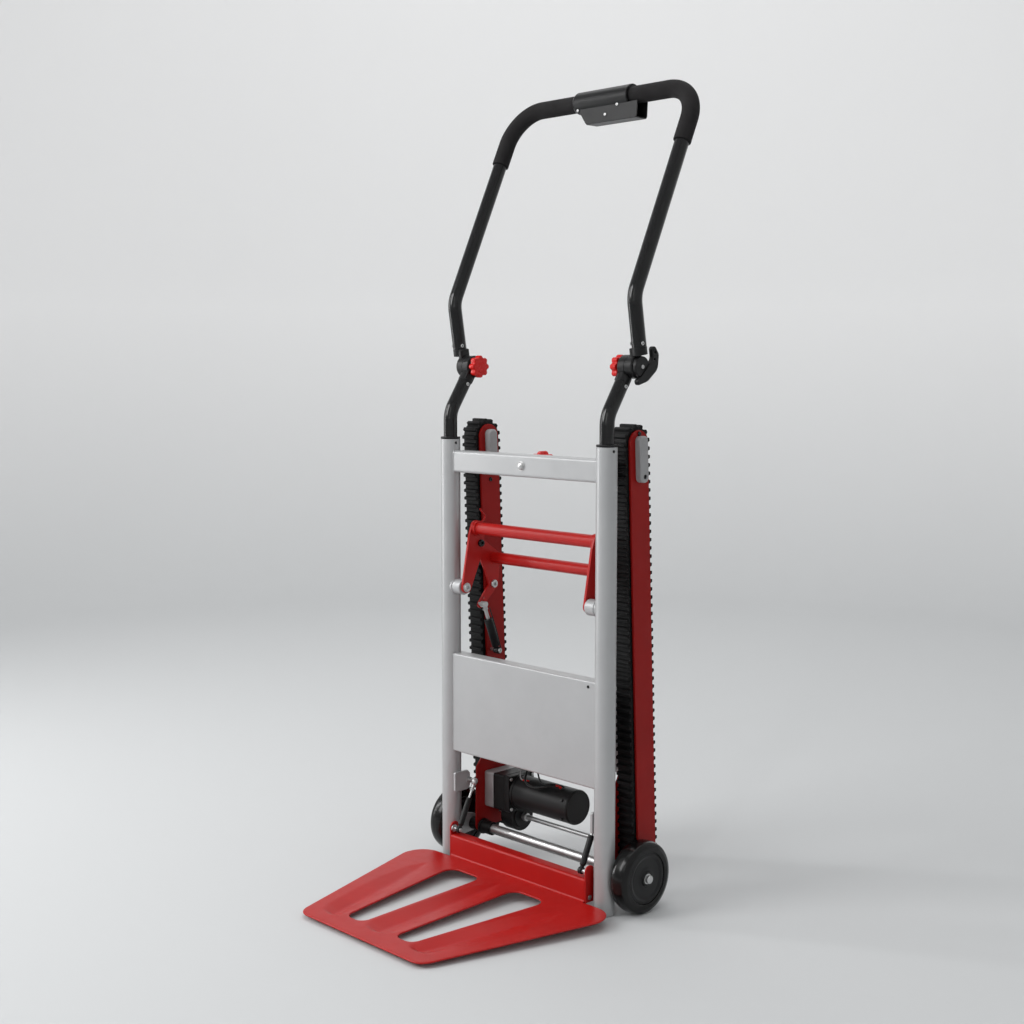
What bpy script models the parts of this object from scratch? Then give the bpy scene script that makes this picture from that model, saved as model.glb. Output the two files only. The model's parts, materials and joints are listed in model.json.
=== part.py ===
"""A powered hand truck that climbs stairs on two rubber tracks.

Metres, +Z up. The origin is on the floor, under the middle of the bounding box. +X is the width, and the
toe plate points to -Y. The tracks, motor and battery are one unit that swings back about the wheel axle.
"""
import math

import bmesh
import bpy
from mathutils import Matrix, Quaternion, Vector
from mathutils.geometry import tessellate_polygon

MM = 0.001
GAP = 0.3 * MM
SIDES = (("left", -1), ("right", 1))

# Uprights and what joins them. Depths given to at() count from the plane through the posts' centres.
POST_X = 232 * MM
POST_Y = 97.9 * MM
POST_RADIUS = 21.5 * MM
POST_WALL = 2 * MM
POST_FOOT = 0.5 * MM
POST_TOP = 953 * MM
PANEL_BOTTOM = 258 * MM
PANEL_TOP = 479 * MM
CROSSBAR_BOTTOM = 881 * MM
CROSSBAR_TOP = 928 * MM


def at(depth, height):
    """(Y, Z) of a point given in millimetres behind the posts' plane and above the floor."""
    return (POST_Y + depth * MM, height * MM)


# Pivots, as (Y, Z) of axes that run along X.
AXLE = at(60, 75)
TOE_HINGE = at(-16, 32)
STRUT_TOP = at(27, 186)
STRUT_FOOT = at(-20, 85)
ARM_PIVOT = at(0, 628)
KNEE = at(41.5, 723)
LINK_PIVOT = at(88.3, 627)
SPRING_ANCHOR = at(86.7, 478)
SPRING_TAB = at(45.5, 586.2)
IDLER = at(81, 957)
SPROCKET = at(117, 101)
HANDLE_PIVOT = at(64, 1111)

# Wheels.
WHEEL_RADIUS = 75 * MM
WHEEL_BORE = 8.3 * MM
WHEEL_INNER_X = 255 * MM
WHEEL_OUTER_X = 297 * MM
RIM_RADIUS = 53 * MM

# Tracks.
INNER_PLATE_X = (194 * MM, 199 * MM)
BELT_X = (200 * MM, 240 * MM)
OUTER_PLATE_X = (241 * MM, 246 * MM)
PLATE_HALF_WIDTH = 27.5 * MM
BELT_INNER_RADIUS = 27.5 * MM
BELT_OUTER_RADIUS = 34 * MM
LUG_HEIGHT = 5.5 * MM
LUG_PITCH = 17 * MM
PULLEY_RADIUS = 27 * MM
SHAFT_RADIUS = 5.5 * MM

# Toggle linkage between frame and tracks.
ARM_X = (180 * MM, 186 * MM)
LINK_X = (187 * MM, 193 * MM)
SPRING_X = -174 * MM

# Toe plate. Its sheet rises towards the rear, and stands on the three grooves pressed into its front.
SHEET = 4 * MM
TOE_LIFT = 8 * MM
TOE_RISE = 0.0305
FLANGE_TOP = 72.5 * MM
TOE_FRONT = -457 * MM
TOE_REAR = -32 * MM
TOE_HALF_FRONT = 188 * MM
TOE_HALF_REAR = 312 * MM
EAR_X = (203.5 * MM, 207.5 * MM)
STRUT_X = 186 * MM

# Handle.
TUBE_RADIUS = 15 * MM
TUBE_WALL = 1.8 * MM
GRIP_RADIUS = 18.5 * MM
UPPER_X = 264 * MM
KINK = at(41.2, 1251)
TOP_BAR = at(237.2, 1681)
HUB_RADIUS = 24 * MM
TUBE_START = 40 * MM

# Motor lead, as (X, depth, height) in millimetres: out of the battery case's underside, forward over the
# motor and into its terminal.
CABLE_RADIUS = 2.5 * MM
CABLE_ROUTE = ((-72, 100, 264.6), (-72, 99, 256), (-73, 92, 240), (-73, 80, 218), (-66, 68, 204),
               (-50, 63, 197), (-28, 64, 196), (-8, 70, 201), (8, 78, 204.5), (18, 88, 203.4))


def clear_scene():
    for thing in list(bpy.data.objects):
        bpy.data.objects.remove(thing, do_unlink=True)


def material(name, colour, roughness, metallic=0.0):
    made = bpy.data.materials.new(name)
    made.use_nodes = True
    shader = made.node_tree.nodes["Principled BSDF"]
    shader.inputs["Base Color"].default_value = (*colour, 1)
    shader.inputs["Roughness"].default_value = roughness
    shader.inputs["Metallic"].default_value = metallic
    made.diffuse_color = (*colour, 1)
    return made


clear_scene()
SILVER = material("silver_paint", (0.46, 0.47, 0.48), 0.35, 0.3)
RED = material("red_paint", (0.42, 0.012, 0.01), 0.35)
DARK_RED = material("dark_red_paint", (0.27, 0.012, 0.012), 0.4)
GLOSS_BLACK = material("gloss_black_paint", (0.008, 0.008, 0.008), 0.15)
BLACK_PLASTIC = material("black_plastic", (0.015, 0.015, 0.016), 0.5)
RED_PLASTIC = material("red_plastic", (0.58, 0.01, 0.01), 0.35)
BELT_RUBBER = material("belt_rubber", (0.01, 0.01, 0.01), 0.8)
TYRE_RUBBER = material("tyre_rubber", (0.012, 0.011, 0.012), 0.25)
FOAM = material("grip_foam", (0.026, 0.024, 0.025), 0.8)
STEEL = material("bright_steel", (0.6, 0.6, 0.6), 0.25, 1.0)
GREY_PLASTIC = material("grey_plastic", (0.3, 0.3, 0.31), 0.45)
MOTOR_BLACK = material("motor_black", (0.012, 0.012, 0.013), 0.45, 0.2)
CAST_GREY = material("cast_grey", (0.4, 0.4, 0.41), 0.5, 0.5)
CABLE_BLACK = material("cable_black", (0.01, 0.01, 0.01), 0.5)


# ---------------------------------------------------------------- shapes

def rounded(corners, closed=True, step=22):
    """Points through corners ((x, y, ...), radius), with an arc of that radius in place of each corner."""
    path = []
    for index, (point, radius) in enumerate(corners):
        corner = Vector(point).to_3d()
        is_end = not closed and index in (0, len(corners) - 1)
        if is_end or radius == 0:
            path.append(corner)
            continue
        back = (Vector(corners[index - 1][0]).to_3d() - corner).normalized()
        ahead = (Vector(corners[(index + 1) % len(corners)][0]).to_3d() - corner).normalized()
        half = back.angle(ahead) / 2
        centre = corner + (back + ahead).normalized() * (radius / math.sin(half))
        spoke = corner + back * (radius / math.tan(half)) - centre
        turn = math.pi - 2 * half
        pieces = max(1, round(math.degrees(turn) / step))
        for piece in range(pieces + 1):
            path.append(centre + Quaternion(back.cross(spoke), turn * piece / pieces) @ spoke)
    return [point for index, point in enumerate(path) if (point - path[index - 1]).length > 0.01 * MM]


def circle(centre, radius, count=20):
    """A circle as 2D points."""
    turns = [2 * math.pi * index / count for index in range(count)]
    return [Vector((centre[0] + radius * math.cos(t), centre[1] + radius * math.sin(t), 0)) for t in turns]


def slab(outline, low, high, axis="X", holes=()):
    """A plate between low and high along axis, with a 2D outline and 2D holes, as a bmesh."""
    place = {
        "X": lambda p, depth: (depth, p.x, p.y),
        "Y": lambda p, depth: (p.x, depth, p.y),
        "Z": lambda p, depth: (p.x, p.y, depth),
    }[axis]
    loops = [outline, *holes]
    points = [point for loop in loops for point in loop]
    bm = bmesh.new()
    bottom = [bm.verts.new(place(point, low)) for point in points]
    top = [bm.verts.new(place(point, high)) for point in points]
    for triangle in tessellate_polygon(loops):
        bm.faces.new([bottom[index] for index in triangle])
        bm.faces.new([top[index] for index in reversed(triangle)])
    first = 0
    for loop in loops:
        for index in range(len(loop)):
            here = first + index
            after = first + (index + 1) % len(loop)
            bm.faces.new((bottom[here], bottom[after], top[after], top[here]))
        first += len(loop)
    return bm


def box(low, high):
    """A box between two corners."""
    corners = ((low[0], low[1]), (high[0], low[1]), (high[0], high[1]), (low[0], high[1]))
    outline = [Vector((x, y, 0)) for x, y in corners]
    return slab(outline, low[2], high[2], "Z")


def turned(profile, point, axis, sides=24, ring=False):
    """A turned solid about axis through point, from (radius, distance along axis) points.

    A solid profile starts and ends on the axis. A ring profile is a closed loop off the axis.
    """
    turn = Vector((0, 0, 1)).rotation_difference(Vector(axis))
    frame = Matrix.Translation(point) @ turn.to_matrix().to_4x4()
    bm = bmesh.new()
    rows = []
    for radius, distance in profile:
        count = 1 if radius == 0 else sides
        turns = [2 * math.pi * index / sides for index in range(count)]
        rows.append([bm.verts.new(frame @ Vector((radius * math.cos(t), radius * math.sin(t), distance)))
                     for t in turns])
    pairs = list(zip(rows, rows[1:]))
    if ring:
        pairs.append((rows[-1], rows[0]))
    for one, two in pairs:
        for index in range(sides):
            after = (index + 1) % sides
            corners = [one[index % len(one)], one[after % len(one)]]
            corners += [two[after % len(two)], two[index % len(two)]]
            bm.faces.new(list(dict.fromkeys(corners)))
    return bm


def rod(radius, start, end, sides=16):
    """A plain round bar from start to end."""
    start = Vector(start)
    length = (Vector(end) - start).length
    return turned([(0, 0), (radius, 0), (radius, length), (0, length)], start, Vector(end) - start, sides)


def ring(outer, inner, start, end, sides=20):
    """A plain bush from start to end."""
    start = Vector(start)
    length = (Vector(end) - start).length
    profile = [(outer, 0), (outer, length), (inner, length), (inner, 0)]
    return turned(profile, start, Vector(end) - start, sides, ring=True)


def pipe(path, outer, inner, sides=12):
    """An open-ended tube along a path. Its rings turn with the path and don't twist."""
    bm = bmesh.new()
    directions = [(after - before).normalized() for before, after in zip(path, path[1:])]
    middles = [(one + two).normalized() for one, two in zip(directions, directions[1:])]
    tangents = [directions[0], *middles, directions[-1]]
    across = tangents[0].orthogonal().normalized()
    rows = []
    for index, (point, tangent) in enumerate(zip(path, tangents)):
        if index:
            across = tangents[index - 1].rotation_difference(tangent) @ across
        other = tangent.cross(across)
        for radius in (outer, inner):
            turns = [2 * math.pi * side / sides for side in range(sides)]
            rows.append([bm.verts.new(point + radius * (across * math.cos(t) + other * math.sin(t)))
                         for t in turns])
    outside, inside = rows[0::2], rows[1::2]
    for wall in (outside, inside):
        for one, two in zip(wall, wall[1:]):
            for side in range(sides):
                after = (side + 1) % sides
                bm.faces.new((one[side], one[after], two[after], two[side]))
    for end in (0, -1):
        for side in range(sides):
            after = (side + 1) % sides
            bm.faces.new((outside[end][side], outside[end][after], inside[end][after], inside[end][side]))
    return bm


def solid(bm, name="tool"):
    """Makes an object of a bmesh, with its faces pointing out."""
    bmesh.ops.recalc_face_normals(bm, faces=bm.faces[:])
    mesh = bpy.data.meshes.new(name)
    bm.to_mesh(mesh)
    bm.free()
    made = bpy.data.objects.new(name, mesh)
    bpy.context.scene.collection.objects.link(made)
    return made


def combine(first, others, operation):
    """Unites bmeshes with the first, or cuts them from it. first may be an object."""
    base = first if isinstance(first, bpy.types.Object) else solid(first)
    for other in others:
        tool = solid(other)
        modifier = base.modifiers.new(operation, "BOOLEAN")
        modifier.operation = operation
        modifier.solver = "EXACT"
        modifier.object = tool
        graph = bpy.context.evaluated_depsgraph_get()
        result = bpy.data.meshes.new_from_object(base.evaluated_get(graph))
        base.modifiers.clear()
        base.data = result
        bpy.data.objects.remove(tool)
    weld(base)
    return base


def weld(made):
    """Joins points that a cut left almost on each other, and closes any sliver left open."""
    bm = bmesh.new()
    bm.from_mesh(made.data)
    bmesh.ops.remove_doubles(bm, verts=bm.verts[:], dist=0.005 * MM)
    bmesh.ops.dissolve_degenerate(bm, dist=0.005 * MM, edges=bm.edges[:])
    open_edges = [edge for edge in bm.edges if edge.is_boundary]
    bmesh.ops.holes_fill(bm, edges=open_edges)
    bm.to_mesh(made.data)
    bm.free()


def union(first, *others):
    return combine(first, others, "UNION")


def cut(first, *others):
    return combine(first, others, "DIFFERENCE")


def piece(name, shape, finish, pivot=(0, 0, 0)):
    """Names an object or bmesh, gives it its material and puts its origin on pivot."""
    made = shape if isinstance(shape, bpy.types.Object) else solid(shape)
    made.name = name
    made.data.name = name
    made.data.materials.clear()
    made.data.materials.append(finish)
    made.data.transform(Matrix.Translation(-Vector(pivot)))
    made.location = pivot
    made.data.shade_smooth()
    made.data.set_sharp_from_angle(angle=math.radians(35))
    return made


def along_x(side, near, far, pivot):
    """The two ends of a line along X through a (Y, Z) pivot, on one side of the middle."""
    return (side * near, *pivot), (side * far, *pivot)


def x_range(side, span):
    """A pair of X values for one side, lowest first."""
    return sorted((side * span[0], side * span[1]))


def between(start, end, distance):
    """The (Y, Z) point at a distance from start towards end."""
    return Vector(start) + (Vector(end) - Vector(start)).normalized() * distance


# ---------------------------------------------------------------- frame

def make_post(name, side):
    """An upright with its welded arm boss, axle bracket and strut bracket with ball stud."""
    foot = (side * POST_X, POST_Y, POST_FOOT)
    top = (side * POST_X, POST_Y, POST_TOP)
    boss = rod(17 * MM, *along_x(side, 187 * MM, 222 * MM, ARM_PIVOT))
    bracket_corners = [(at(15, 52), 0), (at(77, 58), 16 * MM), (at(77, 92), 16 * MM), (at(15, 110), 0)]
    bracket = slab(rounded(bracket_corners), *x_range(side, (229 * MM, 235 * MM)),
                   holes=[circle(AXLE, WHEEL_BORE)])
    cheek_corners = [(at(-14, 165), 4 * MM), (at(24, 165), 6 * MM), (at(31, 172), 2 * MM),
                     (at(31, 202), 2 * MM), (at(24, 209), 2 * MM), (at(-14, 209), 4 * MM)]
    cheek = slab(rounded(cheek_corners), *x_range(side, (205 * MM, 211 * MM)))
    stud = rod(4 * MM, *along_x(side, 192 * MM, 207 * MM, STRUT_TOP), sides=12)
    post = union(rod(POST_RADIUS, foot, top, 24), boss, bracket, cheek, stud)
    bore = rod(POST_RADIUS - POST_WALL, (*foot[:2], 0), (*foot[:2], POST_TOP + 10 * MM), 24)
    piece(f"post_{name}", cut(post, bore), SILVER)


def cope(shape):
    """Trims the ends of a cross member to the round posts, with a gap."""
    cutters = [rod(POST_RADIUS + GAP, (side * POST_X, POST_Y, 0), (side * POST_X, POST_Y, 1), 48)
               for _, side in SIDES]
    return cut(shape, *cutters)


def make_crossbar():
    """A rounded rectangular tube with a hole through for the centre clamp's bolt."""
    front, back, low, high = -10.4, 29.6, CROSSBAR_BOTTOM / MM, CROSSBAR_TOP / MM
    wall = 2

    def section(inset, radius):
        depths = (front + inset, back - inset)
        heights = (low + inset, high - inset)
        order = ((0, 0), (1, 0), (1, 1), (0, 1))
        return rounded([(at(depths[i], heights[j]), radius * MM) for i, j in order], step=30)

    bar = slab(section(0, 5), -214 * MM, 214 * MM, holes=[section(wall, 3)])
    middle = (CROSSBAR_BOTTOM + CROSSBAR_TOP) / 2
    bore = rod(4.3 * MM, (0, POST_Y - 30 * MM, middle), (0, POST_Y + 40 * MM, middle), 16)
    piece("top_crossbar", cut(cope(bar), bore), SILVER)


def make_panel():
    """A folded sheet: a flat front with its top and bottom edges bent back."""
    sheet, flange = 2.5, 30
    front, back = -12, -12 + flange
    low, high = PANEL_BOTTOM / MM, PANEL_TOP / MM
    corners = [(at(front, low), 4 * MM), (at(back, low), 0), (at(back, low + sheet), 0),
               (at(front + sheet, low + sheet), 1.5 * MM), (at(front + sheet, high - sheet), 1.5 * MM),
               (at(back, high - sheet), 0), (at(back, high), 0), (at(front, high), 4 * MM)]
    piece("backrest_panel", cope(slab(rounded(corners, step=30), -215 * MM, 215 * MM)), SILVER)


def make_axle():
    """The wheel axle, stepped up to a thick middle between the posts, with a head outside each wheel."""
    head, end, shoulder, step = 298.5 * MM, 304 * MM, 226 * MM, 8 * MM
    wide, thick = 8.5 * MM, 11 * MM
    half_profile = [(0, end), (wide, end), (wide, head), (step, head), (step, shoulder), (thick, shoulder)]
    profile = [(radius, -x) for radius, x in half_profile] + half_profile[::-1]
    piece("wheel_axle", turned(profile, (0, *AXLE), (1, 0, 0), 16), STEEL, (0, *AXLE))


def make_lower_handle(name, side):
    """The handle's lower tube, held in the post, its plastic collar and the lower half of the hinge."""
    x = side * POST_X
    bend = at(0, 1012)
    end = between(HANDLE_PIVOT, bend, TUBE_START)
    corners = [((x, POST_Y, 850 * MM), 0), ((x, *bend), 60 * MM), ((x, *end), 0)]
    piece(f"handle_tube_lower_{name}", pipe(rounded(corners, closed=False, step=12), TUBE_RADIUS,
                                           TUBE_RADIUS - TUBE_WALL, 14), GLOSS_BLACK)
    foot, top = (x, POST_Y, POST_TOP + GAP), (x, POST_Y, POST_TOP + 5 * MM)
    piece(f"post_collar_{name}", ring(POST_RADIUS, TUBE_RADIUS + GAP, foot, top), BLACK_PLASTIC)
    disc = rod(HUB_RADIUS, *along_x(side, 219 * MM, 238.4 * MM, HANDLE_PIVOT), sides=24)
    hub = hinge_half(disc, x, bend, x_range(side, (219.5 * MM, 238 * MM)))
    piece(f"hinge_lower_{name}", cut(hub, hub_bore(side)), BLACK_PLASTIC, (x, *HANDLE_PIVOT))


def hub_bore(side):
    return rod(4.5 * MM, *along_x(side, 200 * MM, 275 * MM, HANDLE_PIVOT), sides=12)


def hinge_half(disc, x, towards, neck_span):
    """A hinge disc with a neck and a plug for the tube's bore, which point towards a (Y, Z) point."""
    direction = (Vector(towards) - Vector(HANDLE_PIVOT)).normalized()
    across = Vector((-direction.y, direction.x)) * 12.5 * MM
    pivot = Vector(HANDLE_PIVOT)
    neck_end = pivot + direction * (TUBE_START - 2 * MM)
    neck_corners = (pivot + across, neck_end + across, neck_end - across, pivot - across)
    neck_outline = [corner.to_3d() for corner in neck_corners]
    start = pivot + direction * 27 * MM
    end = pivot + direction * (TUBE_START - GAP)
    plug = rod(13.6 * MM, (x, *start), (x, *end), 14)
    return union(disc, slab(neck_outline, *neck_span), plug)


def make_toe_hinge_rod():
    ends = (-212 * MM, *TOE_HINGE), (212 * MM, *TOE_HINGE)
    piece("toe_hinge_rod", rod(5 * MM, *ends, 12), STEEL, (0, *TOE_HINGE))


def make_crossbar_bolt():
    """A domed bolt head in front of the crossbar, with its shank through the bar."""
    middle = (CROSSBAR_BOTTOM + CROSSBAR_TOP) / 2
    profile = [(0, 0), (5 * MM, 1 * MM), (8.5 * MM, 4 * MM), (8.5 * MM, 6 * MM), (4 * MM, 6 * MM),
               (4 * MM, 50 * MM), (0, 50 * MM)]
    start = (0, POST_Y - 16.7 * MM, middle)
    piece("crossbar_bolt", turned(profile, start, (0, 1, 0), 20), STEEL, start)


# ---------------------------------------------------------------- knobs, lever and wheels

def star(centre, radius, lobes, depth):
    """A lobed knob outline in 2D."""
    count = lobes * 4
    points = []
    for index in range(count):
        turn = 2 * math.pi * index / count
        reach = radius - depth * (0.5 - 0.5 * math.cos(lobes * turn))
        points.append(Vector((centre[0] + reach * math.cos(turn), centre[1] + reach * math.sin(turn), 0)))
    return points


def make_side_knob(name, side):
    """A star knob on the inner side of the handle hinge, with the clamp screw through both halves."""
    grip = slab(star(HANDLE_PIVOT, 24.5 * MM, 8, 4 * MM), *x_range(side, (201 * MM, 216 * MM)))
    neck = rod(11 * MM, *along_x(side, 214 * MM, 218.7 * MM, HANDLE_PIVOT))
    screw = rod(4 * MM, *along_x(side, 216 * MM, 258 * MM, HANDLE_PIVOT), sides=12)
    piece(f"knob_{name}", union(grip, neck, screw), RED_PLASTIC, (side * 209 * MM, *HANDLE_PIVOT))


def make_centre_knob():
    """The star knob behind the crossbar, turning on the bolt."""
    middle = (CROSSBAR_BOTTOM + CROSSBAR_TOP) / 2
    knob = slab(star((0, middle), 29 * MM, 8, 5 * MM), POST_Y + 42 * MM, POST_Y + 66 * MM, "Y")
    neck = rod(12 * MM, (0, POST_Y + 30 * MM, middle), (0, POST_Y + 44 * MM, middle))
    bore = rod(4.3 * MM, (0, POST_Y + 20 * MM, middle), (0, POST_Y + 36 * MM, middle), 16)
    bolt_end = POST_Y + 33.3 * MM
    piece("centre_knob", cut(union(knob, neck), bore), RED_PLASTIC, (0, bolt_end, middle))


def make_lock_lever():
    """A curved lever on a disc, outside the right hinge."""
    disc = rod(21 * MM, *along_x(1, 259.4 * MM, 268 * MM, HANDLE_PIVOT), sides=20)
    corners = [(at(58, 1092), 6 * MM), (at(44, 1084), 6 * MM), (at(50, 1074), 5 * MM),
               (at(78, 1082), 24 * MM), (at(108, 1106), 22 * MM), (at(111, 1136), 10 * MM),
               (at(99, 1153), 8 * MM), (at(88, 1150), 6 * MM), (at(92, 1128), 14 * MM),
               (at(78, 1112), 10 * MM)]
    arm = slab(rounded(corners), 261 * MM, 271 * MM)
    piece("lock_lever", union(disc, arm), BLACK_PLASTIC, (264 * MM, *HANDLE_PIVOT))


def make_wheel(name, side):
    """A tyre with rounded shoulders, and a plastic centre with a recessed web on each face."""
    middle = (WHEEL_INNER_X + WHEEL_OUTER_X) / 2
    half = (WHEEL_OUTER_X - WHEEL_INNER_X) / 2
    seat = RIM_RADIUS + GAP
    tread = [(seat, -half + 1 * MM), (66 * MM, -half + 1 * MM), (72.5 * MM, -half + 6 * MM),
             (WHEEL_RADIUS, -9 * MM)]
    profile = tread + [(radius, -distance) for radius, distance in reversed(tread)]
    place = (side * middle, *AXLE)
    piece(f"tyre_{name}", turned(profile, place, (1, 0, 0), 36, ring=True), TYRE_RUBBER, place)
    web, boss, lip = 13 * MM, 15 * MM, 46 * MM
    inner = [(RIM_RADIUS, -half + 3 * MM), (lip, -half + 3 * MM), (lip, -web), (boss, -web), (boss, -half),
             (WHEEL_BORE, -half)]
    centre = inner + [(radius, -distance) for radius, distance in reversed(inner)]
    piece(f"wheel_centre_{name}", turned(centre, place, (1, 0, 0), 28, ring=True), BLACK_PLASTIC, place)


# ---------------------------------------------------------------- tracks

def track_axes():
    """Unit vectors up the track from sprocket to idler, and square to it towards the front."""
    up = (Vector(IDLER) - Vector(SPROCKET)).normalized()
    return up, Vector((-up.y, up.x))


def track_point(distance, forward):
    """(Y, Z) at a distance up the track's centre line from the sprocket, and forward of it."""
    up, front = track_axes()
    return tuple(Vector(SPROCKET) + up * distance + front * forward)


def stadium(radius):
    """The outline round both pulleys, at a radius."""
    length = (Vector(IDLER) - Vector(SPROCKET)).length
    ends = ((-radius, radius), (length + radius, radius), (length + radius, -radius), (-radius, -radius))
    return rounded([(track_point(distance, forward), radius) for distance, forward in ends], step=15)


def belt_outline():
    """The belt's outer edge, with a lug every pitch."""
    length = (Vector(IDLER) - Vector(SPROCKET)).length
    lap = 2 * length + 2 * math.pi * BELT_OUTER_RADIUS
    lugs = round(lap / LUG_PITCH)
    up, front = track_axes()

    def on_loop(distance, height):
        """A point at a distance round the loop, from the sprocket up the front, and a height over it."""
        distance %= lap
        reach = BELT_OUTER_RADIUS + height
        half_turn = math.pi * BELT_OUTER_RADIUS
        if distance < length:
            return Vector(SPROCKET) + up * distance + front * reach
        if distance < length + half_turn:
            turn = (distance - length) / BELT_OUTER_RADIUS
            return Vector(IDLER) + front * reach * math.cos(turn) + up * reach * math.sin(turn)
        if distance < 2 * length + half_turn:
            return Vector(IDLER) - up * (distance - length - half_turn) - front * reach
        turn = (distance - 2 * length - half_turn) / BELT_OUTER_RADIUS
        return Vector(SPROCKET) - front * reach * math.cos(turn) - up * reach * math.sin(turn)

    pitch = lap / lugs
    outline = []
    for lug in range(lugs):
        for share, height in ((0, LUG_HEIGHT), (0.4, LUG_HEIGHT), (0.7, 0)):
            outline.append(on_loop((lug + share) * pitch, height).to_3d())
    return outline


def make_inner_plate(name, side):
    """The plate on the track's inner face, with its pivot studs. Its foot widens to reach the wheel axle."""
    length = (Vector(IDLER) - Vector(SPROCKET)).length
    half = PLATE_HALF_WIDTH
    corners = [(track_point(length + half, half), half), (track_point(length + half, -half), half),
               (track_point(-half, -half), half), (track_point(-half, half), 20 * MM),
               (at(40, 56), 17.5 * MM), (at(42.5, 214), 14 * MM), (track_point(165 * MM, half), 30 * MM)]
    holes = [circle(AXLE, 11.3 * MM), circle(SPROCKET, 7 * MM, 16)]
    plate = slab(rounded(corners), *x_range(side, INNER_PLATE_X), holes=holes)
    stud = rod(6 * MM, *along_x(side, 186.5 * MM, 196 * MM, LINK_PIVOT), sides=16)
    head = rod(9 * MM, *along_x(side, 183 * MM, 186.7 * MM, LINK_PIVOT), sides=16)
    shape = union(plate, stud, head)
    if side < 0:
        anchor = rod(4 * MM, (SPRING_X + 8 * MM, *SPRING_ANCHOR), (-196 * MM, *SPRING_ANCHOR), 12)
        shape = union(shape, anchor)
    piece(f"track_plate_inner_{name}", shape, DARK_RED, (side * INNER_PLATE_X[0], *AXLE))


def make_outer_plate(name, side):
    """The plate on the track's outer face, with the idler's pin welded to it."""
    shaft_hole = circle(SPROCKET, 7 * MM, 16)
    plate = slab(stadium(PLATE_HALF_WIDTH), *x_range(side, OUTER_PLATE_X), holes=[shaft_hole])
    pin = rod(6 * MM, *along_x(side, 199.4 * MM, 243 * MM, IDLER), sides=16)
    piece(f"track_plate_outer_{name}", union(plate, pin), DARK_RED, (side * OUTER_PLATE_X[0], *AXLE))


def make_belt(name, side):
    shape = slab(belt_outline(), *x_range(side, BELT_X), holes=[stadium(BELT_INNER_RADIUS)])
    piece(f"track_belt_{name}", shape, BELT_RUBBER, (side * BELT_X[0], *AXLE))


def pulley_outline(centre, teeth=14, depth=2.2 * MM):
    """A toothed pulley's edge."""
    points = []
    for tooth in range(teeth):
        for share, drop in ((0, 0), (0.4, 0), (0.55, depth), (0.85, depth)):
            turn = 2 * math.pi * (tooth + share) / teeth
            reach = PULLEY_RADIUS - drop
            spoke = Vector((math.cos(turn), math.sin(turn), 0))
            points.append(Vector(centre).to_3d() + reach * spoke)
    return points


def make_pulleys(name, side):
    """The driving sprocket on the drive shaft, and the idler on its pin."""
    span = x_range(side, (201 * MM, 239 * MM))
    bore = circle(SPROCKET, SHAFT_RADIUS + GAP, 16)
    piece(f"sprocket_{name}", slab(pulley_outline(SPROCKET), *span, holes=[bore]), BLACK_PLASTIC,
          (side * 220 * MM, *SPROCKET))
    bore = circle(IDLER, 6.3 * MM, 16)
    piece(f"idler_{name}", slab(pulley_outline(IDLER), *span, holes=[bore]), BLACK_PLASTIC,
          (side * 220 * MM, *IDLER))


def make_tension_cap(name, span, face):
    """A grey cover with chamfered edges over the belt tensioner, on a face of a track."""
    length = (Vector(IDLER) - Vector(SPROCKET)).length
    low, high, half = length - 78 * MM, length + 16 * MM, 12.5 * MM

    def outline(inset):
        ends = ((low + inset, half - inset), (high - inset, half - inset), (high - inset, inset - half),
                (low + inset, inset - half))
        return rounded([(track_point(distance, forward), 11 * MM - inset) for distance, forward in ends])

    base, top = span
    layers = ((base, 0), (top - face * 3 * MM, 0), (top, 3 * MM))
    bm = bmesh.new()
    rows = [[bm.verts.new((x, point.x, point.y)) for point in outline(inset)] for x, inset in layers]
    for one, two in zip(rows, rows[1:]):
        for index in range(len(one)):
            after = (index + 1) % len(one)
            bm.faces.new((one[index], one[after], two[after], two[index]))
    bm.faces.new(rows[0])
    bm.faces.new(rows[-1])
    hole_centre = track_point(low + 12 * MM, 0)
    hole = rod(5 * MM, (top + face * 5 * MM, *hole_centre), (top - face * 8 * MM, *hole_centre), 16)
    piece(name, cut(bm, hole), GREY_PLASTIC, (base, *IDLER))


def make_tension_caps(name, side):
    outer = (side * (OUTER_PLATE_X[1] + GAP), side * (OUTER_PLATE_X[1] + 15 * MM))
    inner = (side * (INNER_PLATE_X[0] - GAP), side * (INNER_PLATE_X[0] - 15 * MM))
    make_tension_cap(f"tension_cap_outer_{name}", outer, side)
    make_tension_cap(f"tension_cap_inner_{name}", inner, -side)


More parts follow.
